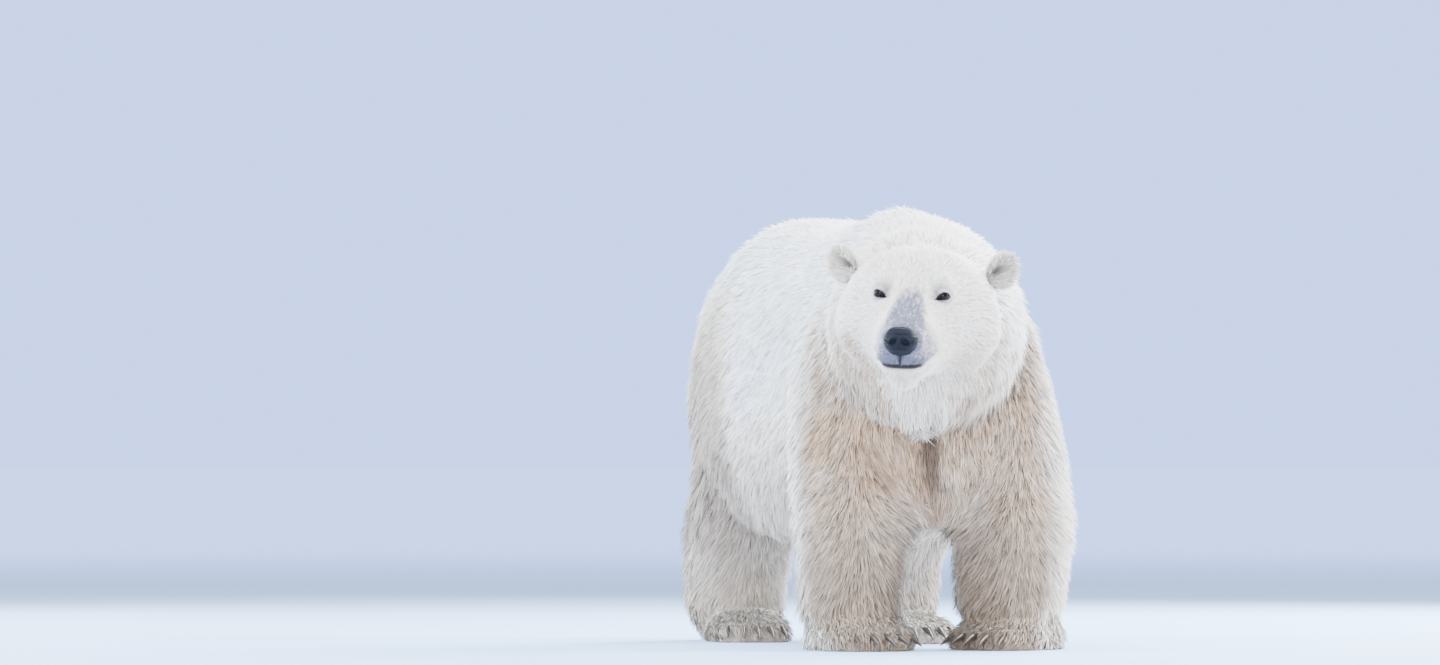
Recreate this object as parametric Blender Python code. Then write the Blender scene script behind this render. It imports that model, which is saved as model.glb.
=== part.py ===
"""A life-size standing polar bear, as still solids out to the tips of its coat.

The bear faces -Y, its right side is -X and it stands on Z = 0. Its head is turned to its right, its left
forepaw is turned in, and its left hind foot is the forward one. The body is modelled whole from lofts and
rounded masses, melted into one surface, and then parted with thin cuts where its parts meet.
"""

import math

import bmesh
import bpy
import numpy as np
from mathutils import Matrix, Vector

# Driving sizes, in metres.
SHOULDER_HEIGHT = 1.09  # floor to the hump over the shoulders
TRUNK_LENGTH = 1.52  # breast to rump
TRUNK_HALF_WIDTH = 0.325  # widest, across the belly
TRUNK_FRONT = -0.66  # Y of the breast
HEAD_LENGTH = 0.395  # middle of the ear line to the tip of the muzzle
HEAD_HALF_WIDTH = 0.185
NECK_RADIUS = 0.235
FOREPAW_LENGTH = 0.29
FOREPAW_HALF_WIDTH = 0.112
HINDPAW_LENGTH = 0.34
HINDPAW_HALF_WIDTH = 0.105
EYE_RADIUS = 0.0145
NOSE_HALF_WIDTH = 0.041
EAR_RADIUS = 0.047
CLAW_LENGTH = 0.050
CLAW_RADIUS = 0.0085

GAP = 0.0004  # between neighbouring solids
VOXEL = 0.0075
WRIST = 0.125  # height of the cut between each leg and its paw
RING_POINTS = 36
BODY_TRIANGLES = 2300  # of the body's surface, before it is parted
FACE_TRIANGLES = 1350  # of the face's, which needs them closer

# The head's own frame: its origin is midway between the ears, and it looks along -Y.
HEAD_ORIGIN = Vector((-0.131, -0.875, 0.920))
HEAD_YAW, HEAD_PITCH, HEAD_ROLL = (math.radians(a) for a in (-24.3, 10.5, 2.8))
HEAD_FRAME = (
    Matrix.Translation(HEAD_ORIGIN)
    @ Matrix.Rotation(HEAD_YAW, 4, "Z")
    @ Matrix.Rotation(HEAD_PITCH, 4, "X")
    @ Matrix.Rotation(HEAD_ROLL, 4, "Y")
)

# Where each limb stands: X and Y of the middle of its paw, and the paw's turn inwards in degrees.
FOREFEET = {"right": (-0.200, -0.525, 12.0), "left": (0.205, -0.535, 52.0)}
HINDFEET = {"right": (-0.168, 0.585, -6.0), "left": (0.160, 0.290, -4.0)}
TAIL_PLACE = Vector((0, 0.898, 0.690))

FUR = (0.86, 0.84, 0.78, 1.0)
LEG_FUR = (0.74, 0.67, 0.57, 1.0)
NOSE_SKIN = (0.025, 0.028, 0.036, 1.0)
EYE_BROWN = (0.030, 0.018, 0.012, 1.0)
HORN = (0.045, 0.040, 0.036, 1.0)


def clear_scene():
    for obj in list(bpy.data.objects):
        bpy.data.objects.remove(obj, do_unlink=True)


def principled(name, colour, roughness):
    material = bpy.data.materials.new(name)
    material.use_nodes = True
    shader = material.node_tree.nodes["Principled BSDF"]
    shader.inputs["Base Color"].default_value = colour
    shader.inputs["Roughness"].default_value = roughness
    shader.inputs["Metallic"].default_value = 0.0
    return material


def add_object(name, mesh):
    obj = bpy.data.objects.new(name, mesh)
    bpy.context.scene.collection.objects.link(obj)
    return obj


def baked(obj):
    """Replaces the object's mesh with its evaluated one and drops the modifiers."""
    graph = bpy.context.evaluated_depsgraph_get()
    mesh = bpy.data.meshes.new_from_object(obj.evaluated_get(graph), depsgraph=graph)
    obj.modifiers.clear()
    obj.data = mesh
    return obj


def through(rows, count):
    """A smooth Catmull-Rom run of rows through the given ones, count rows long."""
    rows = np.array(rows, float)
    padded = np.vstack([2 * rows[0] - rows[1], rows, 2 * rows[-1] - rows[-2]])
    made = []
    for t in np.linspace(0, len(rows) - 1, count):
        i = min(int(t), len(rows) - 2)
        u = t - i
        a, b, c, d = padded[i : i + 4]
        made.append(
            0.5 * (2 * b + (c - a) * u + (2 * a - 5 * b + 4 * c - d) * u**2 + (3 * b - a - 3 * c + d) * u**3)
        )
    return np.array(made)


def half_oval(angle, squareness):
    """Cosine and sine of the angle, pushed out towards a square by a squareness below 1."""
    c, s = math.cos(angle), math.sin(angle)
    return (
        math.copysign(abs(c) ** squareness, c),
        math.copysign(abs(s) ** squareness, s),
    )


def loft(name, rings, frame=None):
    """A closed body through rings of points, with a rounded pole at each end."""
    made = bmesh.new()
    loops = [[made.verts.new(p) for p in ring] for ring in rings]
    for near, far in zip(loops, loops[1:]):
        for i, corner in enumerate(near):
            j = (i + 1) % len(near)
            made.faces.new((corner, near[j], far[j], far[i]))
    for loop in (loops[0], loops[-1]):
        pole = made.verts.new(sum((v.co for v in loop), Vector()) / len(loop))
        for i, corner in enumerate(loop):
            made.faces.new((corner, loop[(i + 1) % len(loop)], pole))
    bmesh.ops.recalc_face_normals(made, faces=made.faces)
    bmesh.ops.triangulate(made, faces=made.faces)
    mesh = bpy.data.meshes.new(name)
    made.to_mesh(mesh)
    made.free()
    if frame:
        mesh.transform(frame)
    return add_object(name, mesh)


def upright_rings(stations, count, squareness=0.94):
    """Rings across Y from rows of Y, half width, top, widest height and bottom, closed in at both ends."""
    rings = []
    rows = through(stations, count)
    for y, half_width, top, widest, bottom in rows:
        ring = []
        for k in range(RING_POINTS):
            c, s = half_oval(2 * math.pi * k / RING_POINTS, squareness)
            reach = top - widest if s > 0 else widest - bottom
            ring.append(Vector((half_width * c, y, widest + reach * s)))
        rings.append(ring)
    return rings


def tube_rings(stations, count):
    """Rings square to a path from rows of X, Y, Z, half size across and half size the other way."""
    rows = through(stations, count)
    across = Vector((1, 0, 0))
    rings = []
    for i, (x, y, z, side, other) in enumerate(rows):
        near, far = rows[max(i - 1, 0), :3], rows[min(i + 1, count - 1), :3]
        along = Vector(far - near).normalized()
        lateral = (across - along * across.dot(along)).normalized()
        depth = along.cross(lateral)
        centre = Vector((x, y, z))
        turns = (2 * math.pi * k / RING_POINTS for k in range(RING_POINTS))
        rings.append(
            [centre + lateral * (side * math.cos(a)) + depth * (other * math.sin(a)) for a in turns]
        )
    return rings


def level_rings(stations, count, points):
    """Level rings from rows of X, Y, Z, half size along X and half size along Y."""
    rings = []
    for x, y, z, half_x, half_y in through(stations, count):
        turns = (2 * math.pi * k / points for k in range(points))
        rings.append([Vector((x + half_x * math.cos(a), y + half_y * math.sin(a), z)) for a in turns])
    return rings


def mass(name, centre, radii, turn=Matrix.Identity(4), frame=None, segments=24):
    """A rounded mass: an ellipsoid of these radii, turned and then set at its centre."""
    made = bmesh.new()
    bmesh.ops.create_uvsphere(made, u_segments=segments, v_segments=segments * 2 // 3, radius=1.0)
    mesh = bpy.data.meshes.new(name)
    made.to_mesh(mesh)
    made.free()
    place = Matrix.Translation(centre) @ turn @ Matrix.Diagonal((*radii, 1.0))
    mesh.transform(frame @ place if frame else place)
    return add_object(name, mesh)


def turned(yaw=0.0, pitch=0.0, roll=0.0):
    """A turn about Z, X and Y in degrees."""
    return (
        Matrix.Rotation(math.radians(yaw), 4, "Z")
        @ Matrix.Rotation(math.radians(pitch), 4, "X")
        @ Matrix.Rotation(math.radians(roll), 4, "Y")
    )


def trunk_masses():
    """The barrel of the trunk, the hump, the shoulders, the haunches and the tail."""
    height, length, width = SHOULDER_HEIGHT, TRUNK_LENGTH, TRUNK_HALF_WIDTH
    # Share of the length from breast to rump, then half width, top, widest height and bottom as shares.
    outline = (
        (0.00, 0.34, 0.80, 0.64, 0.48),
        (0.04, 0.60, 0.88, 0.61, 0.395),
        (0.11, 0.82, 0.960, 0.58, 0.308),
        (0.22, 0.90, 0.985, 0.56, 0.278),
        (0.38, 0.98, 0.975, 0.52, 0.238),
        (0.54, 1.03, 0.975, 0.50, 0.222),
        (0.68, 1.02, 0.995, 0.52, 0.255),
        (0.80, 0.94, 0.990, 0.56, 0.320),
        (0.90, 0.80, 0.925, 0.60, 0.40),
        (0.97, 0.55, 0.82, 0.62, 0.48),
        (1.00, 0.28, 0.72, 0.62, 0.55),
    )
    stations = [
        (
            TRUNK_FRONT + along * length,
            half * width,
            top * height,
            widest * height,
            bottom * height,
        )
        for along, half, top, widest, bottom in outline
    ]
    made = [loft("barrel", upright_rings(stations, 44, squareness=0.84))]
    made.append(mass("hump", (-0.012, -0.315, 0.850), (0.185, 0.270, 0.243)))
    made.append(mass("rump", (0, 0.450, 0.810), (0.262, 0.330, 0.275)))
    made.append(mass("brisket", (0, -0.550, 0.490), (0.160, 0.115, 0.165)))
    for side in (-1, 1):
        made.append(
            mass(
                f"shoulder{side}",
                (side * 0.185, -0.405, 0.665),
                (0.125, 0.195, 0.285),
                turned(roll=side * -7),
            )
        )
        made.append(
            mass(
                f"haunch{side}",
                (side * 0.160, 0.575, 0.640),
                (0.138, 0.235, 0.310),
                turned(pitch=-10, roll=side * -5),
            )
        )
    tail_path = (
        (0, 0.780, 0.790, 0.052, 0.050),
        (0, 0.850, 0.740, 0.052, 0.044),
        (0, 0.885, 0.685, 0.044, 0.032),
        (0, 0.892, 0.645, 0.026, 0.020),
    )
    made.append(loft("tail_loft", tube_rings(tail_path, 10)))
    return made


def neck_masses():
    """The neck, bent to the bear's right, with the full ruff of its throat."""
    r = NECK_RADIUS
    path = (
        (0.000, -0.300, 0.790, 1.02 * r, 1.22 * r),
        (-0.006, -0.450, 0.785, 1.04 * r, 1.20 * r),
        (-0.035, -0.600, 0.785, 1.02 * r, 1.10 * r),
        (-0.085, -0.720, 0.790, 0.98 * r, 1.02 * r),
        (-0.125, -0.830, 0.815, 0.88 * r, 0.90 * r),
        (-0.150, -0.920, 0.835, 0.66 * r, 0.66 * r),
    )
    made = [loft("neck_loft", tube_rings(path, 22))]
    made.append(
        mass("throat", (-0.105, -0.745, 0.665), (0.150, 0.130, 0.128), turned(yaw=-20))
    )
    made.append(
        mass("bib", (-0.090, -0.750, 0.590), (0.062, 0.075, 0.075), turned(yaw=-20))
    )
    return made


def head_masses():
    """Skull, cheeks, brows, muzzle and chin in the head's own frame."""
    length, width = HEAD_LENGTH, HEAD_HALF_WIDTH
    # Share of the way to the muzzle's tip, half width, then top, widest height and bottom in metres.
    outline = (
        (-0.30, 0.82, 0.010, -0.105, -0.225),
        (-0.12, 0.98, 0.048, -0.100, -0.245),
        (0.06, 1.02, 0.066, -0.096, -0.252),
        (0.22, 0.98, 0.062, -0.094, -0.248),
        (0.36, 0.84, 0.038, -0.096, -0.240),
        (0.48, 0.65, 0.003, -0.103, -0.236),
        (0.60, 0.480, -0.028, -0.112, -0.232),
        (0.74, 0.395, -0.047, -0.122, -0.226),
        (0.87, 0.375, -0.058, -0.127, -0.214),
        (0.955, 0.320, -0.069, -0.131, -0.190),
        (1.00, 0.200, -0.090, -0.131, -0.170),
    )
    stations = [
        (-along * length, half * width, top, widest, bottom)
        for along, half, top, widest, bottom in outline
    ]
    made = [loft("skull", upright_rings(stations, 40, squareness=0.92), HEAD_FRAME)]
    for side in (-1, 1):
        made.append(
            mass(
                f"cheek{side}",
                (side * 0.104, -0.050, -0.128),
                (0.100, 0.120, 0.118),
                turned(yaw=side * -12),
                HEAD_FRAME,
            )
        )
        made.append(
            mass(
                f"brow{side}",
                (side * 0.066, -0.155, 0.002),
                (0.040, 0.040, 0.020),
                turned(yaw=side * -20, pitch=24, roll=side * 18),
                HEAD_FRAME,
            )
        )
        made.append(
            mass(
                f"lip{side}",
                (side * 0.036, -0.335, -0.142),
                (0.036, 0.056, 0.034),
                turned(yaw=side * 6),
                HEAD_FRAME,
            )
        )
    made.append(
        mass("chin", (0, -0.318, -0.199), (0.046, 0.060, 0.035), turned(), HEAD_FRAME)
    )
    return made


def paw_frame(x, y, turn):
    """A paw's own frame on the floor: it points along -Y, turned towards the middle of the bear."""
    inwards = math.copysign(1.0, x) * math.radians(-turn)
    return Matrix.Translation((x, y, 0)) @ Matrix.Rotation(inwards, 4, "Z")


def paw_masses(name, frame, length, half_width, height):
    """A broad paw from heel to toes. It reaches below the floor, where it is cut flat."""
    below = -0.03
    # Share of the length from the toes' tips, then half width and top as shares.
    outline = (
        (0.00, 0.55, 0.30),
        (0.07, 0.84, 0.56),
        (0.22, 1.00, 0.80),
        (0.42, 1.00, 0.98),
        (0.62, 0.94, 1.00),
        (0.82, 0.82, 0.92),
        (0.96, 0.62, 0.66),
        (1.00, 0.36, 0.40),
    )
    stations = [
        ((along - 0.56) * length, half * half_width, top * height, 0.25 * height, below)
        for along, half, top in outline
    ]
    made = [loft(name, upright_rings(stations, 24, squareness=0.86), frame)]
    for toe in range(5):
        spread, centre = toe_place(toe, length, half_width)
        made.append(
            mass(
                f"{name}_toe{toe}",
                centre,
                (0.19 * half_width, 0.17 * length, 0.036),
                Matrix.Rotation(spread, 4, "Z"),
                frame,
            )
        )
    return made


def toe_place(toe, length, half_width):
    """A toe's splay and its centre in the paw's frame: the five lie on a shallow arc."""
    across = (toe - 2) / 2
    spread = math.radians(12.0) * across
    centre = Vector(
        (
            0.74 * half_width * across,
            -0.44 * length + 0.045 * length * across**2 * 2,
            0.030,
        )
    )
    return spread, centre


def foreleg_masses(name, side, foot):
    """A foreleg from the shoulder down to its paw. A turned leg shows its long fringe and so is fuller."""
    x, y, turn = foot
    fuller = 0.015 * turn / 52.0
    path = (
        (side * 0.165, -0.400, 0.780, 0.105, 0.160),
        (side * 0.186, -0.445, 0.620, 0.132, 0.172),
        (0.35 * side * 0.200 + 0.65 * x, -0.470, 0.450, 0.134 + fuller, 0.155),
        (x, 0.6 * y - 0.4 * 0.485, 0.300, 0.130 + fuller, 0.138),
        (x, y + 0.030, 0.160, 0.121 + fuller, 0.125),
        (x, y + 0.020, 0.070, 0.112, 0.112),
        (x, y + 0.015, 0.020, 0.100, 0.100),
    )
    made = [loft(name, tube_rings(path, 26))]
    made.append(
        mass(f"{name}_fringe", (0.52 * x, -0.505, 0.390), (0.092, 0.105, 0.165), turned(roll=side * -14))
    )
    frame = paw_frame(x, y, turn)
    return made + paw_masses(name + "_paw", frame, FOREPAW_LENGTH, FOREPAW_HALF_WIDTH, 0.115)


def hindleg_masses(name, side, foot):
    """A hind leg from the hip to its long flat paw. The rear one is drawn up under the bear and so is fuller."""
    x, y, turn = foot
    fuller = 0.011 if y > 0.5 else 0.0
    knee_y = y - 0.110
    heel_y = y + 0.105
    path = (
        (side * 0.150, 0.580, 0.760, 0.110, 0.190),
        (side * 0.170, 0.5 * (0.560 + knee_y + 0.06), 0.580, 0.124, 0.205),
        (0.5 * (side * 0.180 + x), knee_y + 0.045, 0.420, 0.128 + fuller, 0.178),
        (x, 0.5 * (knee_y + heel_y) + 0.035, 0.270, 0.124 + fuller, 0.148),
        (x, heel_y - 0.035, 0.150, 0.116 + fuller, 0.130),
        (x, heel_y - 0.040, 0.070, 0.106 + fuller, 0.118),
        (x, heel_y - 0.045, 0.020, 0.090, 0.096),
    )
    made = [loft(name, tube_rings(path, 26))]
    frame = paw_frame(x, y, turn)
    return made + paw_masses(name + "_paw", frame, HINDPAW_LENGTH, HINDPAW_HALF_WIDTH, 0.100)


def melted(pieces):
    """One smooth surface from overlapping masses: joined, remeshed, and eased where they meet."""
    joined = bmesh.new()
    for piece in pieces:
        joined.from_mesh(piece.data)
        bpy.data.objects.remove(piece)
    mesh = bpy.data.meshes.new("body")
    joined.to_mesh(mesh)
    joined.free()
    body = add_object("body", mesh)
    remesh = body.modifiers.new("melt", "REMESH")
    remesh.mode = "VOXEL"
    remesh.voxel_size = VOXEL
    baked(body)
    ease = body.vertex_groups.new(name="ease")
    fine = body.vertex_groups.new(name="fine")
    to_head = HEAD_FRAME.inverted()
    for vertex in body.data.vertices:
        local = to_head @ vertex.co
        face = min(max((-local.y - 0.02) / 0.16, 0.0), 1.0) if local.length < 0.6 else 0.0
        foot = min(max((0.16 - vertex.co.z) / 0.10, 0.0), 1.0)
        ease.add([vertex.index], 1.0 - 0.93 * max(face, 0.9 * foot), "REPLACE")
        if face > 0.05:
            fine.add([vertex.index], 1.0, "REPLACE")
    smooth = body.modifiers.new("ease", "SMOOTH")
    smooth.factor = 0.6
    smooth.iterations = 55
    smooth.vertex_group = "ease"
    baked(body)
    return body


def reduced(body):
    """Fewer triangles: first the body and then the face is thinned to a count of its own."""
    for on_face, wanted in ((False, BODY_TRIANGLES), (True, FACE_TRIANGLES)):
        faces = body.data.polygons
        marked = {v.index for v in body.data.vertices if v.groups and v.groups[-1].group == 1}
        total = sum(len(f.vertices) - 2 for f in faces)
        fine = sum(len(f.vertices) - 2 for f in faces if marked.issuperset(f.vertices))
        kept = total - fine if on_face else fine
        decimate = body.modifiers.new("reduce", "DECIMATE")
        decimate.ratio = (kept + wanted) / total
        decimate.vertex_group = "fine"
        decimate.invert_vertex_group = not on_face
        decimate.vertex_group_factor = 1.0
        decimate.use_collapse_triangulate = True
        baked(body)
    return body


def slab(name, centre, normal, half_size, thickness=GAP):
    """A thin square cutter through centre, square to normal."""
    made = bmesh.new()
    bmesh.ops.create_cube(made, size=1.0)
    mesh = bpy.data.meshes.new(name)
    made.to_mesh(mesh)
    made.free()
    turn = Vector((0, 0, 1)).rotation_difference(Vector(normal)).to_matrix().to_4x4()
    size = Matrix.Diagonal((2 * half_size, 2 * half_size, thickness, 1))
    mesh.transform(Matrix.Translation(centre) @ turn @ size)
    return hidden(add_object(name, mesh))


def boolean(obj, cutter, operation="DIFFERENCE"):
    modifier = obj.modifiers.new(cutter.name, "BOOLEAN")
    modifier.operation = operation
    modifier.solver = "EXACT"
    modifier.object = cutter
    return obj


def grown(obj, distance, name):
    """A copy of a body with its surface moved out along its normals, to cut others with a gap."""
    mesh = obj.data.copy()
    normals = [v.normal.copy() for v in mesh.vertices]
    for vertex, normal in zip(mesh.vertices, normals):
        vertex.co += normal * distance
    return hidden(add_object(name, mesh))


def floor_cutter():
    """A block under the floor that cuts the paws flat."""
    made = bmesh.new()
    bmesh.ops.create_cube(made, size=1.0)
    mesh = bpy.data.meshes.new("floor_cutter")
    made.to_mesh(mesh)
    made.free()
    mesh.transform(Matrix.Translation((0, 0, -0.5)) @ Matrix.Diagonal((4, 4, 1, 1)))
    return hidden(add_object("floor_cutter", mesh))


def hidden(obj):
    """Marks an object as a cutter."""
    obj.hide_render = True
    obj.display_type = "WIRE"
    return obj


def limb_regions():
    """A closed region round each leg and the tail, by which each is parted from the trunk."""
    regions = {}
    for name, side in (("right", -1), ("left", 1)):
        x, y, _ = FOREFEET[name]
        low = (side * 0.2250, y, 0.215, 0.290)
        leg = (
            (side * 0.290, -0.420, 0.760, 0.020, 0.030),
            (side * 0.275, -0.425, 0.735, 0.080, 0.110),
            (side * 0.250, -0.430, 0.650, 0.130, 0.175),
            (side * 0.232, -0.445, 0.500, 0.178, 0.200),
            (side * 0.230, y + 0.060, 0.340, 0.200, 0.230),
            (low[0], y + 0.010, 0.200, low[2], 0.270),
            (*low[:2], 0.080, *low[2:]),
            (*low[:2], -0.060, *low[2:]),
        )
        regions[f"foreleg_{name}"] = loft(f"foreleg_region_{name}", level_rings(leg, 12, 14))
        x, y, _ = HINDFEET[name]
        leg = (
            (side * 0.280, 0.560, 0.800, 0.020, 0.030),
            (side * 0.262, 0.560, 0.770, 0.085, 0.130),
            (side * 0.235, 0.560, 0.680, 0.140, 0.215),
            (side * 0.220, 0.550, 0.520, 0.165, 0.265),
            (side * 0.205, 0.5 * (y + 0.500), 0.370, 0.170, 0.290),
            (side * 0.195, y + 0.030, 0.230, 0.170, 0.260),
            (side * 0.195, y + 0.010, 0.100, 0.175, 0.280),
            (side * 0.195, y + 0.010, -0.060, 0.175, 0.280),
        )
        regions[f"hindleg_{name}"] = loft(f"hindleg_region_{name}", level_rings(leg, 12, 14))
    regions["tail"] = mass("tail_region", TAIL_PLACE, (0.066, 0.070, 0.115), turned(pitch=-14), segments=12)
    return {name: hidden(region) for name, region in regions.items()}


def islands(obj):
    """The separate closed bodies of an object's mesh, each as a mesh and its centre."""
    source = bmesh.new()
    source.from_mesh(obj.data)
    source.verts.ensure_lookup_table()
    seen = set()
    found = []
    for start in source.verts:
        if start in seen:
            continue
        seen.add(start)
        stack, members = [start], []
        while stack:
            vertex = stack.pop()
            members.append(vertex)
            for edge in vertex.link_edges:
                other = edge.other_vert(vertex)
                if other not in seen:
                    seen.add(other)
                    stack.append(other)
        kept = source.copy()
        kept.verts.ensure_lookup_table()
        wanted = {v.index for v in members}
        bmesh.ops.delete(kept, geom=[v for v in kept.verts if v.index not in wanted], context="VERTS")
        mesh = bpy.data.meshes.new("island")
        kept.to_mesh(mesh)
        kept.free()
        corners = np.array([v.co for v in members])
        found.append((mesh, Vector(corners.mean(0))))
    source.free()
    return sorted(found, key=lambda body: -len(body[0].vertices))


def named_solids(obj, places, material):
    """An object's solids as objects of their own, each named by the nearest of these places."""
    taken = set()
    for mesh, centre in islands(obj):
        name = min(places, key=lambda key: (places[key] - centre).length)
        if name in taken:
            continue
        taken.add(name)
        mesh.name = name
        mesh.materials.clear()
        mesh.materials.append(material)
        add_object(name, mesh)
    bpy.data.objects.remove(obj)


def parted(body, materials):
    """The body as separate named solids: head, neck, trunk, tail, legs and paws."""
    for name, region in limb_regions().items():
        limb = add_object(f"{name}_piece", body.data.copy())
        baked(boolean(limb, region, "INTERSECT"))
        boolean(body, grown(region, GAP, f"{name}_grown"))
        baked(body)
        if name == "tail":
            named_solids(limb, {name: TAIL_PLACE}, materials["fur"])
            continue
        x, y, _ = (FOREFEET if name.startswith("fore") else HINDFEET)[name.split("_")[1]]
        wrist = slab(f"wrist_{name}", (x, y, WRIST), (0, 0, 1), 0.40, 3 * GAP)
        baked(boolean(limb, wrist))
        places = {name: Vector((x, y, 0.40)), name.replace("leg", "paw"): Vector((x, y, 0.05))}
        named_solids(limb, places, materials["leg_fur"])
    head_axis = HEAD_FRAME.to_3x3() @ Vector((0, -1, 0))
    boolean(body, slab("cut_head", HEAD_FRAME @ Vector((0, 0.045, -0.10)), head_axis, 0.33))
    boolean(body, slab("cut_neck", (-0.020, -0.560, 0.800), (-0.16, -0.90, 0.38), 0.335))
    places = {
        "head": HEAD_FRAME @ Vector((0, -0.18, -0.10)),
        "neck": Vector((-0.08, -0.72, 0.79)),
        "trunk": Vector((0, 0.1, 0.70)),
    }
    named_solids(baked(body), places, materials["fur"])


def eye_centres():
    return {
        name: HEAD_FRAME @ Vector((side * 0.0775, -0.2005, -0.0255))
        for name, side in (("right", -1), ("left", 1))
    }


def add_eyes(body, material):
    """An eyeball for each side, and its socket cut in the head."""
    for name, centre in eye_centres().items():
        for part, radius in ((f"eye_{name}", EYE_RADIUS), (f"socket_{name}", EYE_RADIUS + GAP)):
            made = bmesh.new()
            bmesh.ops.create_uvsphere(made, u_segments=12, v_segments=7, radius=radius)
            mesh = bpy.data.meshes.new(part)
            made.to_mesh(mesh)
            made.free()
            mesh.transform(Matrix.Translation(centre))
            mesh.shade_smooth()
            obj = add_object(part, mesh)
            if part.startswith("socket"):
                boolean(body, hidden(obj))
            else:
                mesh.materials.append(material)
    return body


def add_nose(shell, material):
    """The bare nose pad: a rounded block set on the muzzle's end, with two nostrils."""
    size = (NOSE_HALF_WIDTH, 0.033, 0.0345)
    pad = mass("nose_pad", (0, -0.3860, -0.1070), size, turned(pitch=-14), HEAD_FRAME, 14)
    pad.data.materials.append(material)
    pad.data.shade_smooth()
    for side in (-1, 1):
        nostril = mass(
            f"nostril{side}",
            (side * 0.0190, -0.4180, -0.1110),
            (0.0085, 0.0150, 0.0070),
            turned(yaw=side * 18, roll=side * 24),
            HEAD_FRAME,
            6,
        )
        boolean(pad, hidden(nostril))
    boolean(pad, shell)
    return pad


def add_ears(shell, material):
    """Small round ears, hollowed at the front, set wide and low on the skull."""
    for name, side in (("right", -1), ("left", 1)):
        place = Matrix.Translation((side * 0.187, 0.010, 0.005)) @ turned(yaw=side * 22, roll=side * 22)
        size = (0.84 * EAR_RADIUS, 0.026, EAR_RADIUS)
        ear = mass(f"ear_{name}", (0, 0, 0), size, frame=HEAD_FRAME @ place, segments=12)
        hollow = mass(
            f"ear_hollow_{name}",
            (0, -0.024, -0.002),
            (0.50 * EAR_RADIUS, 0.020, 0.62 * EAR_RADIUS),
            frame=HEAD_FRAME @ place,
            segments=8,
        )
        ear.data.materials.append(material)
        ear.data.shade_smooth()
        boolean(ear, hidden(hollow))
        boolean(ear, shell)


def claw(name, frame, reach):
    """A short curved claw that tapers to a point and turns down."""
    steps = 3
    path = []
    for i in range(steps + 1):
        t = i / steps
        bend = math.radians(10 + 48 * t)
        path.append((0.0, -reach * t, 0.034 - CLAW_LENGTH * 0.52 * t * math.sin(bend), t))
    rings = []
    for x, y, z, t in path:
        radius = CLAW_RADIUS * (1.0 - 0.80 * t**1.5)
        rings.append(
            [
                Vector((x + 0.72 * radius * math.cos(a), y, z + radius * math.sin(a)))
                for a in (2 * math.pi * k / 5 for k in range(5))
            ]
        )
    return loft(name, rings, frame)


def add_claws(shell, material):
    """Five claws on each paw, clear of the paw's solid by the gap."""
    for kind, feet, length, half_width in (
        ("fore", FOREFEET, FOREPAW_LENGTH, FOREPAW_HALF_WIDTH),
        ("hind", HINDFEET, HINDPAW_LENGTH, HINDPAW_HALF_WIDTH),
    ):
        for name, foot in feet.items():
            frame = paw_frame(*foot)
            for toe in range(5):
                spread, centre = toe_place(toe, length, half_width)
                tip = Vector((0, -0.145 * length, 0)) @ Matrix.Rotation(-spread, 3, "Z")
                place = Matrix.Translation((centre.x + tip.x, centre.y + tip.y, 0)) @ Matrix.Rotation(
                    spread, 4, "Z"
                )
                piece = claw(f"claw_{kind}_{name}_{toe + 1}", frame @ place, CLAW_LENGTH)
                piece.data.materials.append(material)
                piece.data.shade_smooth()
                boolean(piece, shell)


def centre_on_floor():
    """Moves the bear so that the origin is under the middle of its box, on the floor."""
    graph = bpy.context.evaluated_depsgraph_get()
    corners = []
    shown = [o for o in bpy.data.objects if o.type == "MESH" and not o.hide_render]
    for obj in shown:
        box = obj.evaluated_get(graph).bound_box
        corners += [obj.matrix_world @ Vector(c) for c in box]
    low = [min(c[k] for c in corners) for k in range(3)]
    high = [max(c[k] for c in corners) for k in range(3)]
    shift = Vector((-(low[0] + high[0]) / 2, -(low[1] + high[1]) / 2, 0))
    for obj in bpy.data.objects:
        obj.location += shift


def build():
    clear_scene()
    materials = {
        "fur": principled("fur", FUR, 0.85),
        "leg_fur": principled("leg_fur", LEG_FUR, 0.9),
        "nose_skin": principled("nose_skin", NOSE_SKIN, 0.35),
        "eye_brown": principled("eye_brown", EYE_BROWN, 0.08),
        "horn": principled("horn", HORN, 0.4),
    }
    masses = trunk_masses() + neck_masses() + head_masses()
    for name, side in (("right", -1), ("left", 1)):
        masses += foreleg_masses(f"foreleg_{name}_loft", side, FOREFEET[name])
        masses += hindleg_masses(f"hindleg_{name}_loft", side, HINDFEET[name])
    body = reduced(melted(masses))
    shell = grown(body, GAP, "coat_shell")
    add_eyes(body, materials["eye_brown"])
    add_nose(shell, materials["nose_skin"])
    add_ears(shell, materials["fur"])
    add_claws(shell, materials["horn"])
    boolean(body, floor_cutter())
    parted(baked(body), materials)
    centre_on_floor()


build()
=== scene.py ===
"""Dresses the standing polar bear: one skin, a coat of tufts, wet eyes, a nose pad and claws."""

import math

import bmesh
import bpy
import numpy as np
from mathutils import Matrix, Vector
from mathutils.bvhtree import BVHTree
from mathutils.kdtree import KDTree


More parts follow.
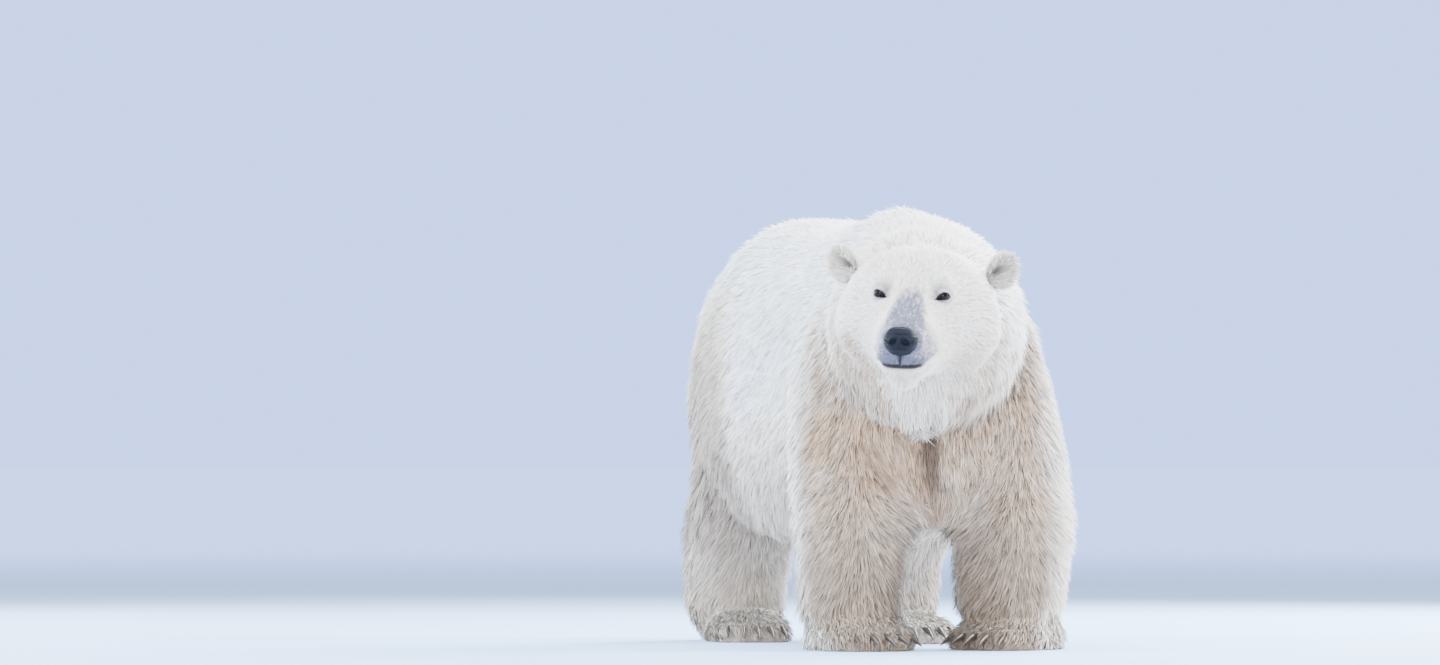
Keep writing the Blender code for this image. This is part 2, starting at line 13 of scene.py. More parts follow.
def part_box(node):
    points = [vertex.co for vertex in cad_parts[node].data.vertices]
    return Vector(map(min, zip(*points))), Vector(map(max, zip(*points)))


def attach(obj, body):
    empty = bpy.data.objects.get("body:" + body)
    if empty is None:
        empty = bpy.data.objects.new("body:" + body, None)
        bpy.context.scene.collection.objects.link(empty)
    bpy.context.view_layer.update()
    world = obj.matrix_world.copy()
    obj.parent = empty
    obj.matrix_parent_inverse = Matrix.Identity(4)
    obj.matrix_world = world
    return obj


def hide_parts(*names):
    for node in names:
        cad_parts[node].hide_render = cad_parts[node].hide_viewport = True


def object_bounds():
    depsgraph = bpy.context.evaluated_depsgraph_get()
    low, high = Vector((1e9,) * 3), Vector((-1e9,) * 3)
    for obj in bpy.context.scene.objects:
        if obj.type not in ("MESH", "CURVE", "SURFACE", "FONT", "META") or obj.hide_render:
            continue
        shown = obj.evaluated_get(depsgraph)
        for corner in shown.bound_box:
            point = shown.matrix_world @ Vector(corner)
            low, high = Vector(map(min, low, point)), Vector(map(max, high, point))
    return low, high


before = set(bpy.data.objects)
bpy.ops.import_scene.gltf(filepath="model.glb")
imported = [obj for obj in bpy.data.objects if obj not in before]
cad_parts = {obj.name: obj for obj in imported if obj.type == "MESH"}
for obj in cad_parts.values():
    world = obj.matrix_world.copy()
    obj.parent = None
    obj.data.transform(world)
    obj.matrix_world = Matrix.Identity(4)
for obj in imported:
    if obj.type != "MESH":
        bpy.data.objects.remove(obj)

cad_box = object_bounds()

# The head looks along -Y of its own frame, whose origin is midway between the ears.
HEAD_TURN = (-24.3, 10.5, 2.8)  # degrees about Z, X and Y
HEAD_PLACE = (-0.131, -0.875, 0.920)  # before the bear is centred
HEAD_REACH = 0.5  # from the head's origin to past its nose
EYE_PLACE = (0.0775, -0.2005, -0.0255)  # the left eye; the right one is its mirror
EYE_LOOK = (0.40, -0.90, 0.16)
EYE_SINK = 0.0045  # how far back along its look an eye is set
EYE_RADIUS = 0.0145
NOSE_PLACE = (0.0, -0.386, -0.107)
NOSE_SIZE = (0.041, 0.033, 0.0345)
NOSTRIL = (0.0132, -0.0040)  # out from the middle of the nose, and up
EAR_PLACE = (0.187, 0.010, 0.005)
EAR_HALF = (0.0285, 0.0395)  # half its width and height
MUZZLE_TIP = (0.0, -0.420, -0.112)

# Measures along the head: how far ahead of the ears, and the measure there.
MOUTH_LINE = ((0.22, 0.27, 0.31, 0.35, 0.39), (-0.150, -0.155, -0.159, -0.164, -0.169))
FACE_DEPTH = (  # of the coat
    (-0.08, 0.04, 0.12, 0.20, 0.26, 0.34, 0.42),
    (0.030, 0.023, 0.016, 0.0095, 0.0055, 0.003, 0.0015),
)
FACE_LENGTH = (  # of the tufts
    (-0.10, 0.0, 0.08, 0.15, 0.22, 0.28, 0.36, 0.42),
    (0.054, 0.044, 0.033, 0.023, 0.0125, 0.0075, 0.0050, 0.0038),
)
FACE_WIDTH = (  # of the tufts
    (-0.10, 0.05, 0.15, 0.24, 0.42),
    (0.0027, 0.0023, 0.0018, 0.0013, 0.0010),
)
BRIDGE_HALF = ((0.19, 0.25, 0.33), (0.020, 0.034, 0.056))  # of the bare bridge

# The coat's depth and the tufts' length over the paws, at each height above the floor.
PAW_DEPTH = ((0.0, 0.03, 0.08, 0.16), (0.006, 0.013, 0.019, 0.024))
PAW_LENGTH = ((0.0, 0.05, 0.13), (0.024, 0.036, 0.044))

# The pale bib's half width at each height, and the height of the ruff's stained edge across it.
BIB_HALF = ((0.545, 0.60, 0.67, 0.74), (0.0, 0.052, 0.080, 0.13))
RUFF_EDGE = (
    (-0.27, -0.25, -0.19, -0.11, -0.02, 0.08, 0.18, 0.23),
    (0.775, 0.705, 0.66, 0.60, 0.66, 0.68, 0.72, 0.785),
)

# X and Y of each paw on the floor and its turn inwards, before the bear is centred.
FOREFEET = {"right": (-0.200, -0.525, 12.0), "left": (0.205, -0.535, 52.0)}
HINDFEET = {"right": (-0.168, 0.585, -6.0), "left": (0.160, 0.290, -4.0)}
PAWS = {"fore": (0.29, 0.112), "hind": (0.34, 0.105)}  # length and half width
CLAW_LENGTH = 0.050
CLAW_RADIUS = 0.0084
TAIL_TIP = (0, 0.885, 0.690)

LEGS = [f"{end}leg_{side}" for end in ("fore", "hind") for side in ("left", "right")]
PAW_NODES = [f"{end}paw_{side}" for end in ("fore", "hind") for side in ("left", "right")]
FLESH = ["head", "neck", "trunk", "tail"] + LEGS + PAW_NODES
LID, EAR = 1.0, 2.0  # the kinds of skin that are not the body's, which is 0
# The marks kept at each corner: the tan stain, the painted shade that darkens the coat, and how far
# the bare skin shows.
MARKS = ("stain", "fold", "bare")
DULL_STAIN = 0.74  # the stain up to which the tan is dull; above it, it turns warm

SKIN_VOXEL = 0.007
SAMPLE_AREA = 0.0001  # of a solid's surface, for each sample of which node it is
TUFTS = 490000
PIECE_TUFTS = 62000  # so that each piece of the coat stays under 200,000 triangles
TUFT_MIDDLE = 0.46  # where along a tuft its second pair of corners lies
TUFT_CORNERS = 5
BLADE = np.array([(0, 3, 1), (0, 2, 3), (2, 4, 3)])  # a tuft's faces
PATCH = 0.003  # a tuft's place on the skin's unwrap
COAT_ROOM = (0.016, 0.020, 0.014)  # how far past the CAD box the tufts stand freely

ROOM_COLOUR = (0.33, 0.49, 1.0)
ROOM_STRENGTH = 3.1
SOFT_LIGHT = (1.0, 1.05, 1.15)  # the light that comes evenly from all round

# Each light's name, place, aim, size, power and colour.
LIGHTS = (
    ("overhead", (0.0, -0.5, 5.5), (0, 0, 0.6), 5.0, 780, (0.94, 0.97, 1.0)),
    ("front", (-2.8, -6.2, 2.0), (0, -0.4, 0.6), 3.0, 510, (1.0, 0.955, 0.89)),
    ("right", (-5.0, 0.8, 3.0), (0, 0.2, 0.7), 3.2, 700, (0.76, 0.88, 1.0)),
    ("left", (4.9, -1.5, 3.2), (0, 0, 0.6), 3.0, 1040, (1.0, 0.98, 0.96)),
    ("rear", (4.0, 3.6, 3.2), (0, 0.0, 0.8), 3.0, 1300, (0.93, 0.965, 1.0)),
    ("rim", (-3.4, 5.4, 1.8), (-0.3, 0.4, 0.6), 2.0, 460, (0.93, 0.965, 1.0)),
)

CAMERA_LENS = 204.1
CAMERA_DISTANCE = 20.0  # from the forefeet
CAMERA_HEIGHT = 0.45
CAMERA_TURNS = (-17.0, 1.487, 0.937)  # degrees round the bear, aside from it, and up

random = np.random.default_rng(7)


# Small helpers.


def ramp(value, low, high):
    """0 below low, 1 above high, and a smooth rise between."""
    t = np.clip((np.asarray(value, float) - low) / (high - low), 0, 1)
    return t * t * (3 - 2 * t)


def bell(value, width):
    """1 at zero, falling away over the width."""
    return np.exp(-((value / width) ** 2))


def unit(vectors):
    return vectors / (np.linalg.norm(vectors, axis=-1, keepdims=True) + 1e-12)


def flattened(vectors, normals):
    """The vectors laid down on the surface."""
    return unit(vectors - normals * (vectors * normals).sum(-1, keepdims=True))


def noise(points, size, seed=0):
    """Smooth noise from -1 to 1, with cells of this size."""
    cells = np.asarray(points) / size + 1000.0
    low = np.floor(cells).astype(np.int64)
    part = cells - low
    part = part * part * (3 - 2 * part)
    total = np.zeros(len(cells))
    for corner in range(8):
        step = np.array([corner & 1, corner >> 1 & 1, corner >> 2 & 1])
        share = np.where(step, part, 1 - part).prod(1)
        mixed = (low + step) @ np.array([73856093, 19349663, 83492791]) + seed * 2654435761
        mixed = ((mixed >> 13) ^ mixed) & 0xFFFFFFFF
        mixed = (mixed * 1274126177) & 0xFFFFFFFF
        total += share * ((mixed >> 8 & 0xFFFF) / 32767.5 - 1)
    return total


def turn_matrix(yaw=0.0, pitch=0.0, roll=0.0):
    """A turn about Z, X and Y in degrees."""
    return (
        Matrix.Rotation(math.radians(yaw), 4, "Z")
        @ Matrix.Rotation(math.radians(pitch), 4, "X")
        @ Matrix.Rotation(math.radians(roll), 4, "Y")
    )


def blend(start, end, share):
    return start + (end - start) * share


def distance(points, place, stretch=1.0):
    """How far each point is from the place, measured shorter along the stretched axes."""
    return np.linalg.norm((points - place) / stretch, axis=1)


def column(values):
    return np.asarray(values)[:, None]


def middle(node):
    low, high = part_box(node)
    return (low + high) / 2


head_turn = turn_matrix(*HEAD_TURN)
eyes_middle = (middle("eye_left") + middle("eye_right")) / 2
HEAD = Matrix.Translation(eyes_middle - head_turn @ Vector((0, *EYE_PLACE[1:]))) @ head_turn
HEAD_AXES = np.array(HEAD.to_3x3())
HEAD_ORIGIN = np.array(HEAD.translation)
SHIFT = HEAD_ORIGIN - np.array(HEAD_PLACE)


def to_head(points):
    return (points - HEAD_ORIGIN) @ HEAD_AXES


def from_head(points):
    return points @ HEAD_AXES.T + HEAD_ORIGIN


def taken(items, field, width, kind=np.float32):
    """One field of many mesh elements, with a row for each element."""
    values = np.empty(len(items) * width, kind)
    items.foreach_get(field, values)
    return values.reshape(-1, width)


def corners(mesh):
    return taken(mesh.vertices, "co", 3).astype(float)


def corner_normals(mesh):
    return taken(mesh.vertex_normals, "vector", 3).astype(float)


def edge_pairs(mesh):
    return taken(mesh.edges, "vertices", 2, np.int32)


def corner_values(mesh, key):
    return taken(mesh.attributes[key].data, "value", 1)[:, 0]


def move_corners(mesh, points):
    mesh.vertices.foreach_set("co", np.ascontiguousarray(points, np.float32).ravel())


def store(mesh, **values):
    """Keeps one number for each corner under each name."""
    for key, value in values.items():
        stored = mesh.attributes.get(key) or mesh.attributes.new(key, "FLOAT", "POINT")
        stored.data.foreach_set("value", np.ascontiguousarray(value, np.float32))


def mesh_from(name, points, faces, uvs=None, normals=None, **values):
    """A mesh from arrays, with one number for each corner under each further name."""
    mesh = bpy.data.meshes.new(name)
    mesh.vertices.add(len(points))
    move_corners(mesh, points)
    mesh.loops.add(faces.size)
    mesh.loops.foreach_set("vertex_index", faces.ravel().astype(np.int32))
    mesh.polygons.add(len(faces))
    starts = np.arange(0, faces.size, faces.shape[1], dtype=np.int32)
    mesh.polygons.foreach_set("loop_start", starts)
    if uvs is not None:
        layer = mesh.uv_layers.new(name="OFBake")
        uvs = np.ascontiguousarray(uvs[faces.ravel()], np.float32)
        layer.uv.foreach_set("vector", uvs.ravel())
    store(mesh, **values)
    mesh.update(calc_edges=True)
    mesh.shade_smooth()
    if normals is not None:
        mesh.normals_split_custom_set_from_vertices(normals.tolist())
    return mesh


def ring_faces(around, rings, inward=False):
    """The faces between rings of corners that follow one another."""
    faces = []
    for i in range(rings):
        for k in range(around):
            a, b = i * around + k, i * around + (k + 1) % around
            face = (a, b, b + around, a + around)
            faces.append(face[:1] + face[:0:-1] if inward else face)
    return faces


def close_poles(mesh):
    """Melts the corners that meet at the poles of a ball into one."""
    made = bmesh.new()
    made.from_mesh(mesh)
    bmesh.ops.remove_doubles(made, verts=made.verts, dist=1e-6)
    bmesh.ops.recalc_face_normals(made, faces=made.faces)
    made.to_mesh(mesh)
    made.free()


def link(obj):
    bpy.context.scene.collection.objects.link(obj)
    return obj


def add_piece(name, mesh, material, replaces=()):
    piece = link(bpy.data.objects.new(name, mesh))
    mesh.materials.clear()
    mesh.materials.append(material)
    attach(piece, "root")
    if replaces:
        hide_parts(*replaces)
    return piece


def spread(values, pairs, times, where=None):
    """Values at a mesh's corners drawn halfway to their neighbours' average, so many times over."""
    values = np.array(values, float)
    flat = values.reshape(len(values), -1)
    count = column(np.bincount(pairs.ravel(), minlength=len(values))) + 1e-9
    weight = 0.5 if where is None else 0.5 * column(where)
    for _ in range(times):
        total = np.empty_like(flat)
        for k, value in enumerate(flat.T):
            total[:, k] = sum(
                np.bincount(pairs[:, a], value[pairs[:, b]], len(flat)) for a, b in ((0, 1), (1, 0))
            )
        flat = flat + weight * (total / count - flat)
    return flat.reshape(values.shape)


# The skin, from the flesh solids.


def nearest(samples, points):
    """The index of the sample nearest to each point."""
    tree = KDTree(len(samples))
    for index, sample in enumerate(samples):
        tree.insert(sample, index)
    tree.balance()
    return np.array([tree.find(point)[1] for point in points])


def mesh_triangles(mesh, field="vertices"):
    mesh.calc_loop_triangles()
    return taken(mesh.loop_triangles, field, 3, np.int32)


def triangle_areas(points, triangles):
    a, b, c = (points[triangles[:, k]] for k in range(3))
    return np.linalg.norm(np.cross(b - a, c - a), axis=1) / 2


def spots_within(count):
    """Places spread evenly over a triangle, as the share of each of its corners."""
    u, v = random.random((2, count))
    folded = u + v > 1
    u, v = np.where(folded, 1 - u, u), np.where(folded, 1 - v, v)
    return np.stack([1 - u - v, u, v], 1)


def at_spots(values, triangles, spots):
    found = values[triangles]
    return (found * (spots if found.ndim == 2 else spots[..., None])).sum(1)


def melted(obj, ease):
    """The object's mesh made anew as one even surface, eased so many times."""
    remesh = obj.modifiers.new("melt", "REMESH")
    remesh.mode = "VOXEL"
    remesh.voxel_size = SKIN_VOXEL
    smooth = obj.modifiers.new("ease", "SMOOTH")
    smooth.factor = 0.5
    smooth.iterations = ease
    graph = bpy.context.evaluated_depsgraph_get()
    mesh = bpy.data.meshes.new_from_object(obj.evaluated_get(graph), depsgraph=graph)
    obj.modifiers.clear()
    obj.data = mesh
    return mesh


def region_shares(points, pairs):
    """How far each skin corner belongs to each node of flesh, softened where nodes meet."""
    samples, owners = [], []
    for index, name in enumerate(FLESH):
        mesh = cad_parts[name].data
        solid, triangles = corners(mesh), mesh_triangles(mesh)
        counts = (triangle_areas(solid, triangles) / SAMPLE_AREA).astype(int)
        picked = np.repeat(np.arange(len(counts)), np.maximum(1, counts))
        samples.append(at_spots(solid, triangles[picked], spots_within(len(picked))))
        owners.append(np.full(len(picked), index))
    owner = np.concatenate(owners)[nearest(np.vstack(samples), points)]
    shares = spread(np.eye(len(FLESH))[owner], pairs, 14)
    return {name: shares[:, k] for k, name in enumerate(FLESH)}


def mirrored(place, side):
    """A place given on the left, on the side that is 1 for left and -1 for right."""
    return np.array((side * place[0], *place[1:]))


def mouth_height(along):
    """The height of the line between the lips, from the corner of the mouth to its front."""
    return np.interp(along, *MOUTH_LINE)


def on_chin(head):
    """1 on the chin, below the lips."""
    along = -head[:, 1]
    below = mouth_height(along) - 0.006 - head[:, 2]
    return ramp(below, 0, 0.015) * ramp(along, 0.24, 0.30)


def on_soles(points, normals):
    return ramp(-normals[:, 2], 0.6, 0.9) * ramp(0.03 - points[:, 2], 0, 0.02)


def coat_depth(points, normals):
    """How deep the coat is over each point of the body, in metres."""
    head = to_head(points)
    along = -head[:, 1]
    near_head = ramp(along, -0.09, 0.02) * ramp(0.46 - np.linalg.norm(head, axis=1), 0, 0.05)
    throat = ramp(-0.15 - head[:, 2], 0, 0.05) * ramp(0.30 - along, 0, 0.12)
    on_face = np.interp(along, *FACE_DEPTH) + throat * 0.014 + on_chin(head) * 0.006
    for side in (-1, 1):
        eye = distance(head, mirrored(EYE_PLACE, side))
        on_face = blend(on_face, 0.002, 1 - ramp(eye, 0.024, 0.046))
    z = points[:, 2]
    body = 0.031 + 0.012 * ramp(-normals[:, 2], 0.2, 0.8) * ramp(z, 0.15, 0.25)
    body = blend(body, 0.024, ramp(0.42 - z, 0, 0.12))
    body = np.where(z < PAW_DEPTH[0][-1], np.interp(z, *PAW_DEPTH), body)
    tail = distance(points, np.array(TAIL_TIP) + SHIFT)
    body = blend(body, 0.015, ramp(0.14 - tail, 0, 0.05))
    return blend(body, on_face, near_head) * (1 - on_soles(points, normals))


def drawn_in_skin():
    """The flesh solids melted into one surface and drawn in by the coat's depth."""
    joined = bmesh.new()
    for name in FLESH:
        joined.from_mesh(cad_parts[name].data)
    mesh = bpy.data.meshes.new("skin")
    joined.to_mesh(mesh)
    joined.free()
    skin = link(bpy.data.objects.new("skin_shape", mesh))
    mesh = melted(skin, 10)
    points, normals, pairs = corners(mesh), corner_normals(mesh), edge_pairs(mesh)
    depth = spread(coat_depth(points, normals), pairs, 12)
    moved = points - spread(normals, pairs, 4) * column(depth)
    moved[:, 2] = np.maximum(moved[:, 2], 0.002)
    move_corners(mesh, moved)
    mesh = melted(skin, 6)
    bpy.data.objects.remove(skin)
    return mesh


def refined_face(mesh):
    """Smaller faces on the muzzle and round the eyes, eased back to a smooth surface."""
    made = bmesh.new()
    made.from_mesh(mesh)
    centres = to_head(np.array([f.calc_center_median() for f in made.faces]))
    wanted = (centres[:, 1] < -0.150) & (np.linalg.norm(centres, axis=1) < HEAD_REACH)
    edges = {e for f, keep in zip(made.faces, wanted) if keep for e in f.edges}
    bmesh.ops.subdivide_edges(made, edges=list(edges), cuts=3, use_grid_fill=True)
    bmesh.ops.triangulate(made, faces=[f for f in made.faces if len(f.verts) > 4])
    made.to_mesh(mesh)
    made.free()
    points = corners(mesh)
    head = to_head(points)
    fine = ramp(-head[:, 1], 0.140, 0.165) * (np.linalg.norm(head, axis=1) < HEAD_REACH)
    move_corners(mesh, spread(points, edge_pairs(mesh), 26, where=fine))
    mesh.update()
    return mesh


# The face, in the head's own frame.


def eye_axes(side):
    """An eye's centre, the way it looks, outwards along the lids, and up across them."""
    look = unit(mirrored(EYE_LOOK, side))
    centre = mirrored(EYE_PLACE, side) - EYE_SINK * look
    out = side * unit(np.array((-look[1], look[0], 0.0)))
    up = unit(np.array((0.0, 0.0, 1.0)) - look * look[2])
    return centre, look, out, up


# Swells and hollows on each side of the face: place, reach, height and how far each is drawn out.
FACE_SWELLS = {
    "whisker pad": ((0.038, -0.352, -0.145), 0.024, 0.0040, (1.0, 1.0, 1.0)),
    "cheek hollow": ((0.060, -0.245, -0.080), 0.026, -0.0050, (1.0, 2.0, 1.0)),
    "brow": ((0.068, -0.180, 0.008), 0.018, 0.0045, (1.7, 1.0, 0.7)),
    "eye corner": ((0.046, -0.215, -0.036), 0.014, -0.0030, (0.8, 1.2, 1.0)),
    "muzzle side": ((0.054, -0.335, -0.084), 0.030, -0.0085, (1.0, 1.0, 1.0)),
}


def sculpted(points, normals):
    """Face corners moved to form the muzzle, the brows, the whisker pads, the lips and the chin."""
    x, along, z = points[:, 0], -points[:, 1], points[:, 2]
    face = ramp(along, 0.15, 0.19)
    line = z - mouth_height(along)
    lips = ramp(along, 0.225, 0.255)
    push = -0.0060 * bell(line + 0.001, 0.0034) * lips
    push += 0.0036 * bell(line - 0.010, 0.0075) * lips
    push += 0.0018 * bell(line + 0.010, 0.0060) * lips
    groove = bell(x, 0.0028) * ramp(along, 0.330, 0.350)
    push -= 0.0040 * groove * ramp(line, 0.0, 0.004) * ramp(-0.128 - z, 0, 0.004)
    for side in (-1, 1):
        for place, reach, height, stretch in FACE_SWELLS.values():
            push += height * bell(distance(points, mirrored(place, side), stretch), reach)
    furrow = ramp(along, 0.16, 0.20) * ramp(0.370 - along, 0, 0.02) * ramp(z, -0.13, -0.08)
    push -= 0.0026 * bell(x, 0.009) * furrow
    push += 0.0006 * noise(points, 0.009, 3)
    moved = points + normals * (push * face)[:, None]
    moved[:, 0] *= 1 - 0.15 * ramp(along, 0.26, 0.37) * ramp(-0.085 - z, 0, 0.03)
    return moved


def sunk(points):
    """Face corners pushed in behind each eye."""
    moved = points.copy()
    for side in (-1, 1):
        centre, look, _, _ = eye_axes(side)
        reach = points - centre
        radius = np.linalg.norm(reach - (reach @ look)[:, None] * look, axis=1)
        sink = (1 - ramp(radius, 0.012, 0.022)) * (reach @ look > -0.03)
        moved -= look * (0.018 * sink)[:, None]
    return moved


# The opening between the lids, in millimetres out along them and up across them, from its low
# inner corner over the top.
LID_MARKS = (
    (-12.4, -7.0), (-10.4, -1.6), (-7.2, 3.6), (-3.4, 6.2), (1.5, 6.3), (6.8, 4.8), (11.0, 1.6),
    (12.8, -2.0), (10.6, -5.2), (5.0, -7.0), (0.0, -7.5), (-5.6, -7.8), (-10.0, -7.9),
)

# A lid's rings, from behind its edge out onto the skin: how far out each is, how high, how much
# more of that above the eye, and how far it follows the skin.
LID_OUT = (-0.0010, 0.0, 0.0010, 0.0024, 0.0040, 0.0060, 0.0085, 0.0110, 0.0145, 0.0185, 0.0240)
LID_RISE = (-0.0020, 0.0008, 0.0024, 0.0030, 0.0026, 0.0034, 0.0034, 0.0022, 0.0020, 0.0010, 0.0)
LID_HOOD = (0.0, 0.0006, 0.0012, 0.0014, 0.0012, 0.0010, 0.0002, -0.0012, 0.0006, 0.0, 0.0)
LID_ONTO_SKIN = (0.0, 0.0, 0.0, 0.05, 0.16, 0.36, 0.60, 0.80, 0.94, 1.0, 1.0)
LID_SPOKES = 84


def lid_outline():
    """The opening between the lids as a smooth loop of evenly spaced places, in metres."""
    marks = np.array(LID_MARKS) / 1000
    u = np.linspace(0, 1, 12, endpoint=False)[:, None]
    fine = []
    for k in range(len(marks)):
        a, b, c, d = (marks[(k + step) % len(marks)] for step in (-1, 0, 1, 2))
        square = 2 * a - 5 * b + 4 * c - d
        cube = 3 * b - a - 3 * c + d
        fine.append(0.5 * (2 * b + (c - a) * u + square * u**2 + cube * u**3))
    fine = np.vstack(fine + [fine[0][:1]])
    run = np.concatenate([[0], np.cumsum(np.linalg.norm(np.diff(fine, axis=0), axis=1))])
    at = np.linspace(0, run[-1], LID_SPOKES, endpoint=False)
    return np.stack([np.interp(at, run, fine[:, k]) for k in (0, 1)], 1)


def lids(side, surface):
    """The lids of one eye as rings of corners, from behind their edge out onto the skin."""
    centre, look, out, up = eye_axes(side)
    edge = lid_outline()
    away = unit(edge - np.array((-0.0015, -0.0012)))
    above = np.clip(away[:, 1], 0, 1)
    inner = np.clip(-away[:, 0], 0, 1)
    rim = 0.0021 + 0.0030 * away[:, 0] ** 4
    ahead = 0.06  # from which the skin is looked for
    rings, dark = [], []
    for step, rise, hood, share in zip(LID_OUT, LID_RISE, LID_HOOD, LID_ONTO_SKIN):
        flat = edge + away * step
        radius = np.hypot(*flat.T)
        ball = np.sqrt(np.maximum(EYE_RADIUS**2 - radius**2, 0))
        ball -= 0.6 * np.maximum(radius - EYE_RADIUS, 0)
        ring = centre + flat[:, :1] * out + flat[:, 1:] * up
        skin = []
        for point in ring:
            hit = surface.ray_cast(Vector(point + look * ahead), Vector(-look), 2 * ahead)
            skin.append(ahead - hit[3] if hit[0] is not None else 0.0)
        height = blend(ball, np.array(skin), share) + rise + hood * above
        if step > 0:
            height = np.maximum(height, ball + 0.0010 + 0.0006 * (radius < EYE_RADIUS))
        if step == LID_OUT[-1]:
            height -= 0.0020
        rings.append(ring + height[:, None] * look)
        # A crease above the inner corner, darkened with painted shade.
        crease = 0.45 * ramp(above * inner, 0.15, 0.45) * bell(step - 0.0105, 0.0022)
        dark.append(np.clip(1 - ramp(step, rim, rim + 0.0022) + crease, 0, 1))
    faces = ring_faces(LID_SPOKES, len(LID_OUT) - 1, inward=side < 0)
    return np.vstack(rings), faces, np.concatenate(dark)


def ear_lean(x, z, side):
    """How far aside of the slit in an ear's hollow a place is; x is across the ear, z up it."""
    return x * side * 0.86 - z * 0.50 + 0.006


def ear(side):
    """One ear as a cup, from its hollow over the rim to its back, with how dark each corner is."""
    place = Matrix.Translation(mirrored(EAR_PLACE, side)) @ turn_matrix(side * 22, 0, side * 22)
    around, across = 48, 26
    points, dark = [], []
    for i in range(across):
        s = 2 * (i + 0.5) / across  # 0 in the middle of the hollow, 1 on the rim, 2 at the back
        reach = math.sin(min(s, 2 - s) * math.pi / 2)
        for k in range(around):
            a = 2 * math.pi * k / around
            x = EAR_HALF[0] * reach * math.cos(a)
            z = EAR_HALF[1] * reach * math.sin(a)
            slit = 0.0
            if s < 1:
                y = -0.013 + 0.006 * (1 - reach**2.2)
                slit = bell(ear_lean(x, z, side), 0.0125)
                slit *= bell(z * 0.86 + x * side * 0.50 + 0.008, 0.030)
            else:
                y = -0.013 + 0.026 * math.cos((2 - s) * math.pi / 2) ** 0.8
            points.append(place @ Vector((x, y + 0.009 * slit, z)))
            # The slit in the hollow is dark: partly the ear's own dark skin, partly painted shade
            # in its opening.
            dark.append(0.85 * slit)
    faces = ring_faces(around, across - 1, inward=True)
    inner, outer = len(points), len(points) + 1
    points += [place @ Vector((0, 0.0005, 0)), place @ Vector((0, 0.0135, 0))]
    # The middle of the hollow is dark too: partly skin, partly painted shade.
    dark += [0.6, 0.0]
    last = (across - 1) * around
    for k in range(around):
        faces.append((inner, k, (k + 1) % around, k))
        faces.append((outer, last + (k + 1) % around, last + k, last + k))
    return np.array(points), faces, np.array(dark)


def built_skin():
    """The whole skin as one mesh, with how dark each corner is and of which kind."""
    mesh = refined_face(drawn_in_skin())
    local = sculpted(to_head(corners(mesh)), corner_normals(mesh) @ HEAD_AXES)
    surface = BVHTree.FromPolygons(local.tolist(), [tuple(p.vertices) for p in mesh.polygons])
    move_corners(mesh, from_head(sunk(local)))
    made = bmesh.new()
    made.from_mesh(mesh)
    layers = {key: made.verts.layers.float.new(key) for key in ("dark", "kind")}
    for side in (-1, 1):
        for kind, (points, faces, dark) in ((LID, lids(side, surface)), (EAR, ear(side))):
            added = []
            for point, value in zip(points, dark):
                vertex = made.verts.new(from_head(point))
                vertex[layers["dark"]] = float(value)
                vertex[layers["kind"]] = kind
                added.append(vertex)
            for face in faces:
                made.faces.new([added[k] for k in dict.fromkeys(face)])
    bmesh.ops.triangulate(made, faces=[f for f in made.faces if len(f.verts) > 4])
    made.to_mesh(mesh)
    made.free()
    mesh.update()
    mesh.shade_smooth()
    return mesh


# The lie, length and markings of the coat.


def paw_centre(end, side):
    x, y, turn = (FOREFEET if end == "fore" else HINDFEET)[side]
    return np.array((x, y, 0.0)) + SHIFT, math.radians(-turn) * math.copysign(1, x)


def lie_of_coat(points, normals, shares):
    """The way the hair lies: from the nose back, down the sides, and down and out on the legs."""
    head = to_head(points)
    x, y, z = points.T
    aside = np.abs(normals[:, 0])
    down = np.array((0.0, 0.0, -1.0))
    back = np.array((0.0, 1.0, 0.0))
    flat = np.zeros(len(x))

    sagging = 0.20 + 1.0 * ramp(aside, 0.25, 0.95) + 0.5 * ramp(0.8 - z, 0, 0.3)
    trunk = back * 0.9 + down * column(sagging)
    chest = ramp(-normals[:, 1], 0.15, 0.65) * ramp(-0.20 - y, 0, 0.12)
    fanned = np.stack([np.clip((x + 0.03) / 0.20, -1, 1) * 0.55, flat - 0.05, flat - 1.0], 1)
    trunk = blend(trunk, fanned, column(chest))
    sagging = 0.25 + 0.9 * ramp(aside, 0.2, 0.9) + 0.6 * ramp(0.8 - z, 0, 0.15)
    neck = np.array((0.28, 0.85, 0.0)) + down * column(sagging)
    throat = ramp(-normals[:, 2], -0.1, 0.6) * ramp(0.72 - z, 0, 0.1)
    neck = blend(neck, fanned, column(throat))
    away = unit(head - np.array(MUZZLE_TIP) * np.array((1.0, 1.0, 0.9)))
    away = away + np.array((0.0, 0.0, -0.45)) * column(ramp(np.abs(head[:, 0]), 0.03, 0.12))
    away = away + np.array((0.0, 0.2, -1.1)) * column(ramp(-0.20 - head[:, 2], 0, 0.05))

    flow = trunk * column(shares["trunk"]) + neck * column(shares["neck"])
    flow += (away @ HEAD_AXES.T) * column(shares["head"])
    flow += (down + back * 0.45) * column(shares["tail"])
    for end in ("fore", "hind"):
        for side in ("left", "right"):
            centre, turned = paw_centre(end, side)
            sideways = np.clip((x - centre[0]) / 0.11, -1.2, 1.2)
            behind = np.where(normals[:, 1] > 0, 0.30, 0.05)
            leg = np.stack([1.25 * sideways, behind, flat - 1.0], 1)
            flow += leg * column(shares[f"{end}leg_{side}"])
            ahead = np.array((math.sin(turned), -math.cos(turned), 0.0))
            radial = unit((points - centre) * (1, 1, 0))
            paw = ahead * 0.75 + radial * 0.40 + down * 0.65
            flow += paw * column(shares[f"{end}paw_{side}"])
    swing = 0.30 * noise(points, 0.16, 11) + 0.16 * noise(points, 0.05, 12)
    flow = flattened(flow, normals)
    across = np.cross(normals, flow)
    return unit(flow + across * column(swing) * column(1 - 0.7 * shares["head"]))


